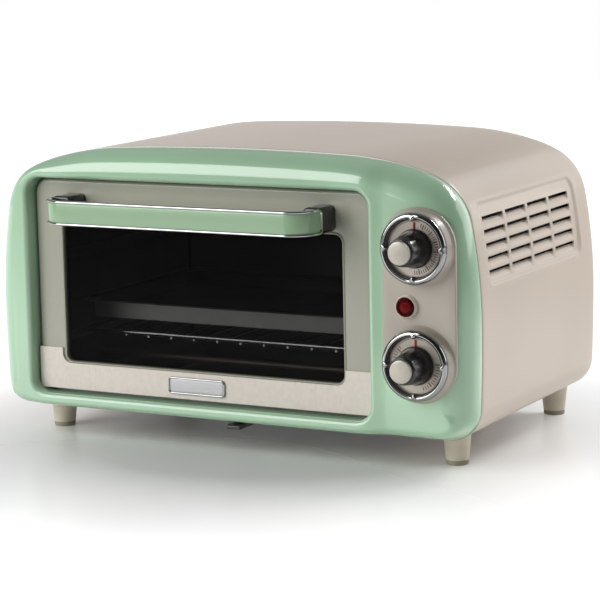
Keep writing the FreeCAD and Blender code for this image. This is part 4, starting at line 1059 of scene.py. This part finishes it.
def bead_skin():
    """Oval section, 2.2 mm across and 3.8 mm deep, reaching 0.8 mm in front of the path."""
    s, z, turn = (line[:, None] for line in bead_loop())
    angle = np.linspace(0, 2 * np.pi, 16, endpoint=False)[None, :]
    across, out = BEAD / 2 * np.cos(angle), -1.1 + 1.9 * np.sin(angle)
    return on_band(s + across * np.sin(turn), z + across * np.cos(turn), out)


band = weld(skin("handle_band", handle_band(), wrap_columns=True))
handle_enamel = enamel("handle_enamel", linear(143, 174, 140), 0.22, 0.3)
fit(band, "door", "front_green", "handle_strip", material=handle_enamel)
bead = skin("handle_bead", bead_skin(), wrap_rows=True, wrap_columns=True)
# Painted shade: chrome with its tone lowered to 0.55, so that the bead reflects darker than bright chrome.
shaded_bead_chrome = chromed("shaded_bead_chrome", 0.55, 0.05)
fit(bead, "door", "bright_chrome", "handle_trim_top", "handle_trim_bottom", material=shaded_bead_chrome)
print("band length", round(float(BAND_LENGTH), 1))

# %% [markdown]
# ## Handle brackets, door frame and badge
#
# The band is held off the door by two moulded blocks. The door frame is a thin pressing whose edges
# are rolled. Both are the same idea as the front: nested rounded rectangles, each a little smaller and
# a little further forward than the last, joined ring to ring. A function gives the ring for any inset.

# %% Nested rounded rectangles


def ring(low_x, high_x, low_z, high_z, corner, inset, steps=12):
    """Rounded rectangle shrunk by `inset`: four quarter circles of radius corner - inset."""
    radius = max(corner - inset, 0.02)
    quarter = np.linspace(0, np.pi / 2, steps)
    angle = np.concatenate([quarter + k * np.pi / 2 for k in range(4)])
    right = np.repeat([high_x, high_x, low_x, low_x], steps)
    top = np.repeat([high_z, low_z, low_z, high_z], steps)
    side_x, side_z = np.repeat([-1, -1, 1, 1], steps), np.repeat([-1, 1, 1, -1], steps)
    shrink = max(inset - corner, 0)
    x = right + side_x * (corner + shrink) + radius * np.sin(angle)
    z = top + side_z * (corner + shrink) + radius * np.cos(angle)
    return x, z


def rings(bounds, section, corner):
    """Grid of rings for a list of (inset, depth)."""
    loops = [ring(*bounds, corner, inset) for inset, _ in section]
    return np.stack([place(x, depth, z) for (x, z), (_, depth) in zip(loops, section)])


# %% Brackets
BRACKET_LOW, BRACKET_HIGH = 164.6, 183.0
for side, low, high in (("left", -131.2, -114.0), ("right", 73.0, 88.6)):
    section = [(7.7, -18.2), (2.2, -18.2), (1.2, -18.0), (0.5, -17.5), (0.1, -16.6), (0.0, -15.4), (0.0, -3.0),
               (-0.15, 1.4), (7.7, 1.4)]
    block = weld(skin(f"handle_block_{side}", rings((low, high, BRACKET_LOW, BRACKET_HIGH), section, 4.2),
                      wrap_columns=True), 2e-5)
    fit(block, "door", "black_plastic", f"handle_bracket_{side}")
print("brackets", BRACKET_HIGH - BRACKET_LOW, "mm high")

# %% Door frame
DOOR = (-157.9, 115.7, 38.2, 192.9)
WINDOW = (-134.4, 93.5, 58.9, 162.6)
FRAME_FRONT, FRAME_BACK = 1.5, 8.0


def door_frame():
    """Rings in from the door's edge, then rings out from the window's, with a flat between.

    The edge is a quarter round of 2.4 mm, the window's a quarter round of 1.2 mm."""
    turn = np.linspace(0, np.pi / 2, 8)
    edge = [(1.0, FRAME_BACK), (0.25, FRAME_BACK), (0.0, FRAME_BACK - 0.4)]
    edge += [(2.4 * (1 - math.cos(a)), FRAME_FRONT + 2.4 * (1 - math.sin(a))) for a in turn]
    window = [(1.2 * math.cos(a), FRAME_FRONT + 1.2 * (1 - math.sin(a))) for a in turn[::-1]]
    outer = rings(DOOR, edge, 11.0)
    inner = rings(WINDOW, [(-inset, depth) for inset, depth in window] + [(0.0, 3.6)], 6.0)
    share = np.linspace(0, 1, 10)[1:-1, None, None]
    flat = outer[-1] + (inner[0] - outer[-1]) * share
    return np.concatenate([outer, flat, inner])


frame_skin = skin("door_pressing", door_frame(), wrap_columns=True, toward=(0, -1, 0))
modify(frame_skin, "SOLIDIFY", "wall", thickness=0.9 * MM, offset=-1.0)
fit(frame_skin, "door", "door_enamel", "door_frame")
print("door frame", len(frame_skin.data.vertices), "points")

# %% Badge
BADGE = (-47.7, -0.9, 41.6, 54.0)
rim_section = [(0.0, -0.05), (0.0, -1.0), (0.15, -1.35), (0.5, -1.6), (0.9, -1.6), (1.25, -1.4), (1.45, -1.0),
               (1.5, -0.75)]
rim = skin("badge_rim", rings(BADGE, rim_section, 3.0), wrap_columns=True, toward=(0, -1, 0))
modify(rim, "SOLIDIFY", "wall", thickness=0.3 * MM, offset=-1.0)
fit(rim, "door", "bright_chrome", "badge_plate", material=shaded_ring_chrome)
field_section = [(1.3, -0.72), (1.6, -0.8), (3.0, -0.82), (6.19, -0.86)]
field_grid = rings(BADGE, field_section, 3.0)
field = weld(skin("badge_field", field_grid, wrap_columns=True, toward=(0, -1, 0)), 3e-5)
badge_satin = steel("badge_satin", (0.38, 0.38, 0.385, 1), 0.34, (0.04, 1, 1), 0.3)
fit(field, "door", "screw_steel", material=badge_satin)
print("badge is blank")

# %% [markdown]
# ## Studio
#
# The floor is a broad flat sheet of pale paper. The main light is a large soft box in front on the
# left. A narrow strip and two wide, weaker boxes stand behind the oven to the right and draw the bright
# lines on its roundings. A pale sky does the rest; it is darker on the viewer's side, which gives
# chrome its dark lines.

# %% Floor
FLOOR_HALF, FLOOR_LINES = 3.2, 41


def studio_floor():
    """A flat sheet z = 0. Close to the oven it is pale paper that takes shadow and a soft reflection;
    further off it gives its own white light, so that it has no horizon. That light dims in front of
    the oven and towards the right behind it, and the oven's gloss mirrors those darker parts."""
    line = np.linspace(-FLOOR_HALF, FLOOR_HALF, FLOOR_LINES)
    x, y = np.meshgrid(line, line, indexing="ij")
    floor = skin("studio_floor", np.stack([x, y, 0 * x], -1), toward=(0, 0, 1))
    f = Finish("paper_floor", Specular_IOR_Level=0.35)
    clouds = f.noise(1.5, 2.0)
    f.roughness(f.ramp(clouds, 0.3, 0.7, 0.22, 0.30))
    split = f.node("SeparateXYZ", Vector=f.at())
    across, back = split.outputs["X"], split.outputs["Y"]
    white = f.ramp(f.length(across, back), 0.16, 0.36)
    slant = f.sum("ADD", back, f.sum("MULTIPLY", f.sum("SUBTRACT", across, 0.24), 0.35))
    beside = f.sum("MULTIPLY", f.ramp(across, 0.14, 0.22), f.ramp(slant, 0.27, 0.75, 0.0, 0.6))
    glow = f.sum("MULTIPLY", f.ramp(back, -0.75, -0.5, 0.2, 1.0), f.sum("SUBTRACT", 1.0, beside))
    glow_colour = f.node("CombineXYZ", X=glow, Y=glow, Z=glow).outputs[0]
    f.colour(f.tint(white, (0.93, 0.93, 0.925, 1), (0.12, 0.12, 0.12, 1)))
    f.put(f.shader.inputs["Emission Color"], f.tint(white, (0, 0, 0, 1), glow_colour))
    f.shader.inputs["Emission Strength"].default_value = 1.0
    floor.data.materials.append(f.material)
    return floor


floor = studio_floor()

# %% Lights


def soft_box(name, at, target, size, power):
    """A rectangular lamp at a point, facing a target; size in metres, power in watts."""
    data = bpy.data.lights.new(name, "AREA")
    data.shape, data.size, data.size_y, data.energy = "RECTANGLE", size[0], size[1], power
    lamp = bpy.data.objects.new(name, data)
    lamp.location = at
    lamp.rotation_euler = (Vector(target) - Vector(at)).to_track_quat("-Z", "Y").to_euler()
    bpy.context.scene.collection.objects.link(lamp)
    return lamp


soft_box("key_box", (-1.15, -1.6, 0.98), (0.0, 0.0, 0.1), (1.4, 1.75), 39.0)
soft_box("strip_box", (0.67, 1.0, 1.17), (0.1, 0.0, 0.1), (0.75, 0.16), 10.0)
soft_box("back_box", (0.5, 1.7, 0.9), (0.1, 0.0, 0.1), (1.4, 1.2), 3.2)
soft_box("low_side_box", (1.35, 1.2, 0.75), (0.15, 0.05, 0.1), (1.6, 1.2), 13.0)


SKY_RAMPS = (("Y", -0.55, 0.6, 0.16, 1.0), ("X", -0.15, 0.35, 1.0, 0.4), ("Z", 0.0, 0.3, 1.0, 0.3))
SKY_SEEN = 0.8                                               # least strength where it is seen directly


def studio_sky():
    """White low behind the oven, falling to a dim grey on the viewer's side, on the right and overhead.

    Strength = back (y) x left (x) x low (z), each a ramp along one axis of the direction looked at, but
    never under SKY_SEEN where the sky itself is in view."""
    sky = bpy.data.worlds.new("pale_studio")
    bpy.context.scene.world = sky
    sky.use_nodes = True
    tree = sky.node_tree

    def joined(operation, first, second):
        node = tree.nodes.new("ShaderNodeMath")
        node.operation = operation
        tree.links.new(first, node.inputs[0])
        if isinstance(second, float):
            node.inputs[1].default_value = second
        else:
            tree.links.new(second, node.inputs[1])
        return node.outputs[0]

    split = tree.nodes.new("ShaderNodeSeparateXYZ")
    tree.links.new(tree.nodes.new("ShaderNodeTexCoord").outputs["Generated"], split.inputs[0])
    strength = None
    for axis, *limits in SKY_RAMPS:
        ramp = tree.nodes.new("ShaderNodeMapRange")
        for socket, value in zip(("From Min", "From Max", "To Min", "To Max"), limits):
            ramp.inputs[socket].default_value = value
        tree.links.new(split.outputs[axis], ramp.inputs["Value"])
        factor = ramp.outputs["Result"]
        strength = factor if strength is None else joined("MULTIPLY", strength, factor)
    seen = joined("MULTIPLY", tree.nodes.new("ShaderNodeLightPath").outputs["Is Camera Ray"], SKY_SEEN)
    strength = joined("MAXIMUM", strength, seen)
    tree.links.new(strength, tree.nodes["Background"].inputs["Strength"])
    tree.nodes["Background"].inputs["Color"].default_value = (1, 1, 1, 1)


studio_sky()

# %% Camera
YAW, PITCH, ROLL = (math.radians(angle) for angle in (28.2953, 9.46783, -1.22187))
CAMERA_AT, LENS = (0.8352, -1.5343, 0.3868), 143.636         # metres; millimetres on a 36 mm frame


def camera_axes():
    """Right, up and forward: forward from yaw and pitch, then right and up turned by the roll."""
    forward = np.array([-math.sin(YAW) * math.cos(PITCH), math.cos(YAW) * math.cos(PITCH), -math.sin(PITCH)])
    right = np.cross(forward, (0, 0, 1))
    right /= np.linalg.norm(right)
    up = np.cross(right, forward)
    cos, sin = math.cos(ROLL), math.sin(ROLL)
    return cos * right + sin * up, cos * up - sin * right, forward


def portrait_camera():
    """A long lens, three quarters from the right and a little above."""
    data = bpy.data.cameras.new("portrait")
    data.lens, data.sensor_width, data.clip_start = LENS, 36.0, 0.05
    camera = bpy.data.objects.new("portrait", data)
    right, up, forward = camera_axes()
    matrix = np.eye(4)
    matrix[:3, 0], matrix[:3, 1], matrix[:3, 2], matrix[:3, 3] = right, up, -forward, CAMERA_AT
    camera.matrix_world = Matrix(matrix.tolist())
    bpy.context.scene.collection.objects.link(camera)
    bpy.context.scene.camera = camera
    return camera


portrait_camera()
bpy.context.scene.view_settings.view_transform = "Standard"
print("lights and camera are set")
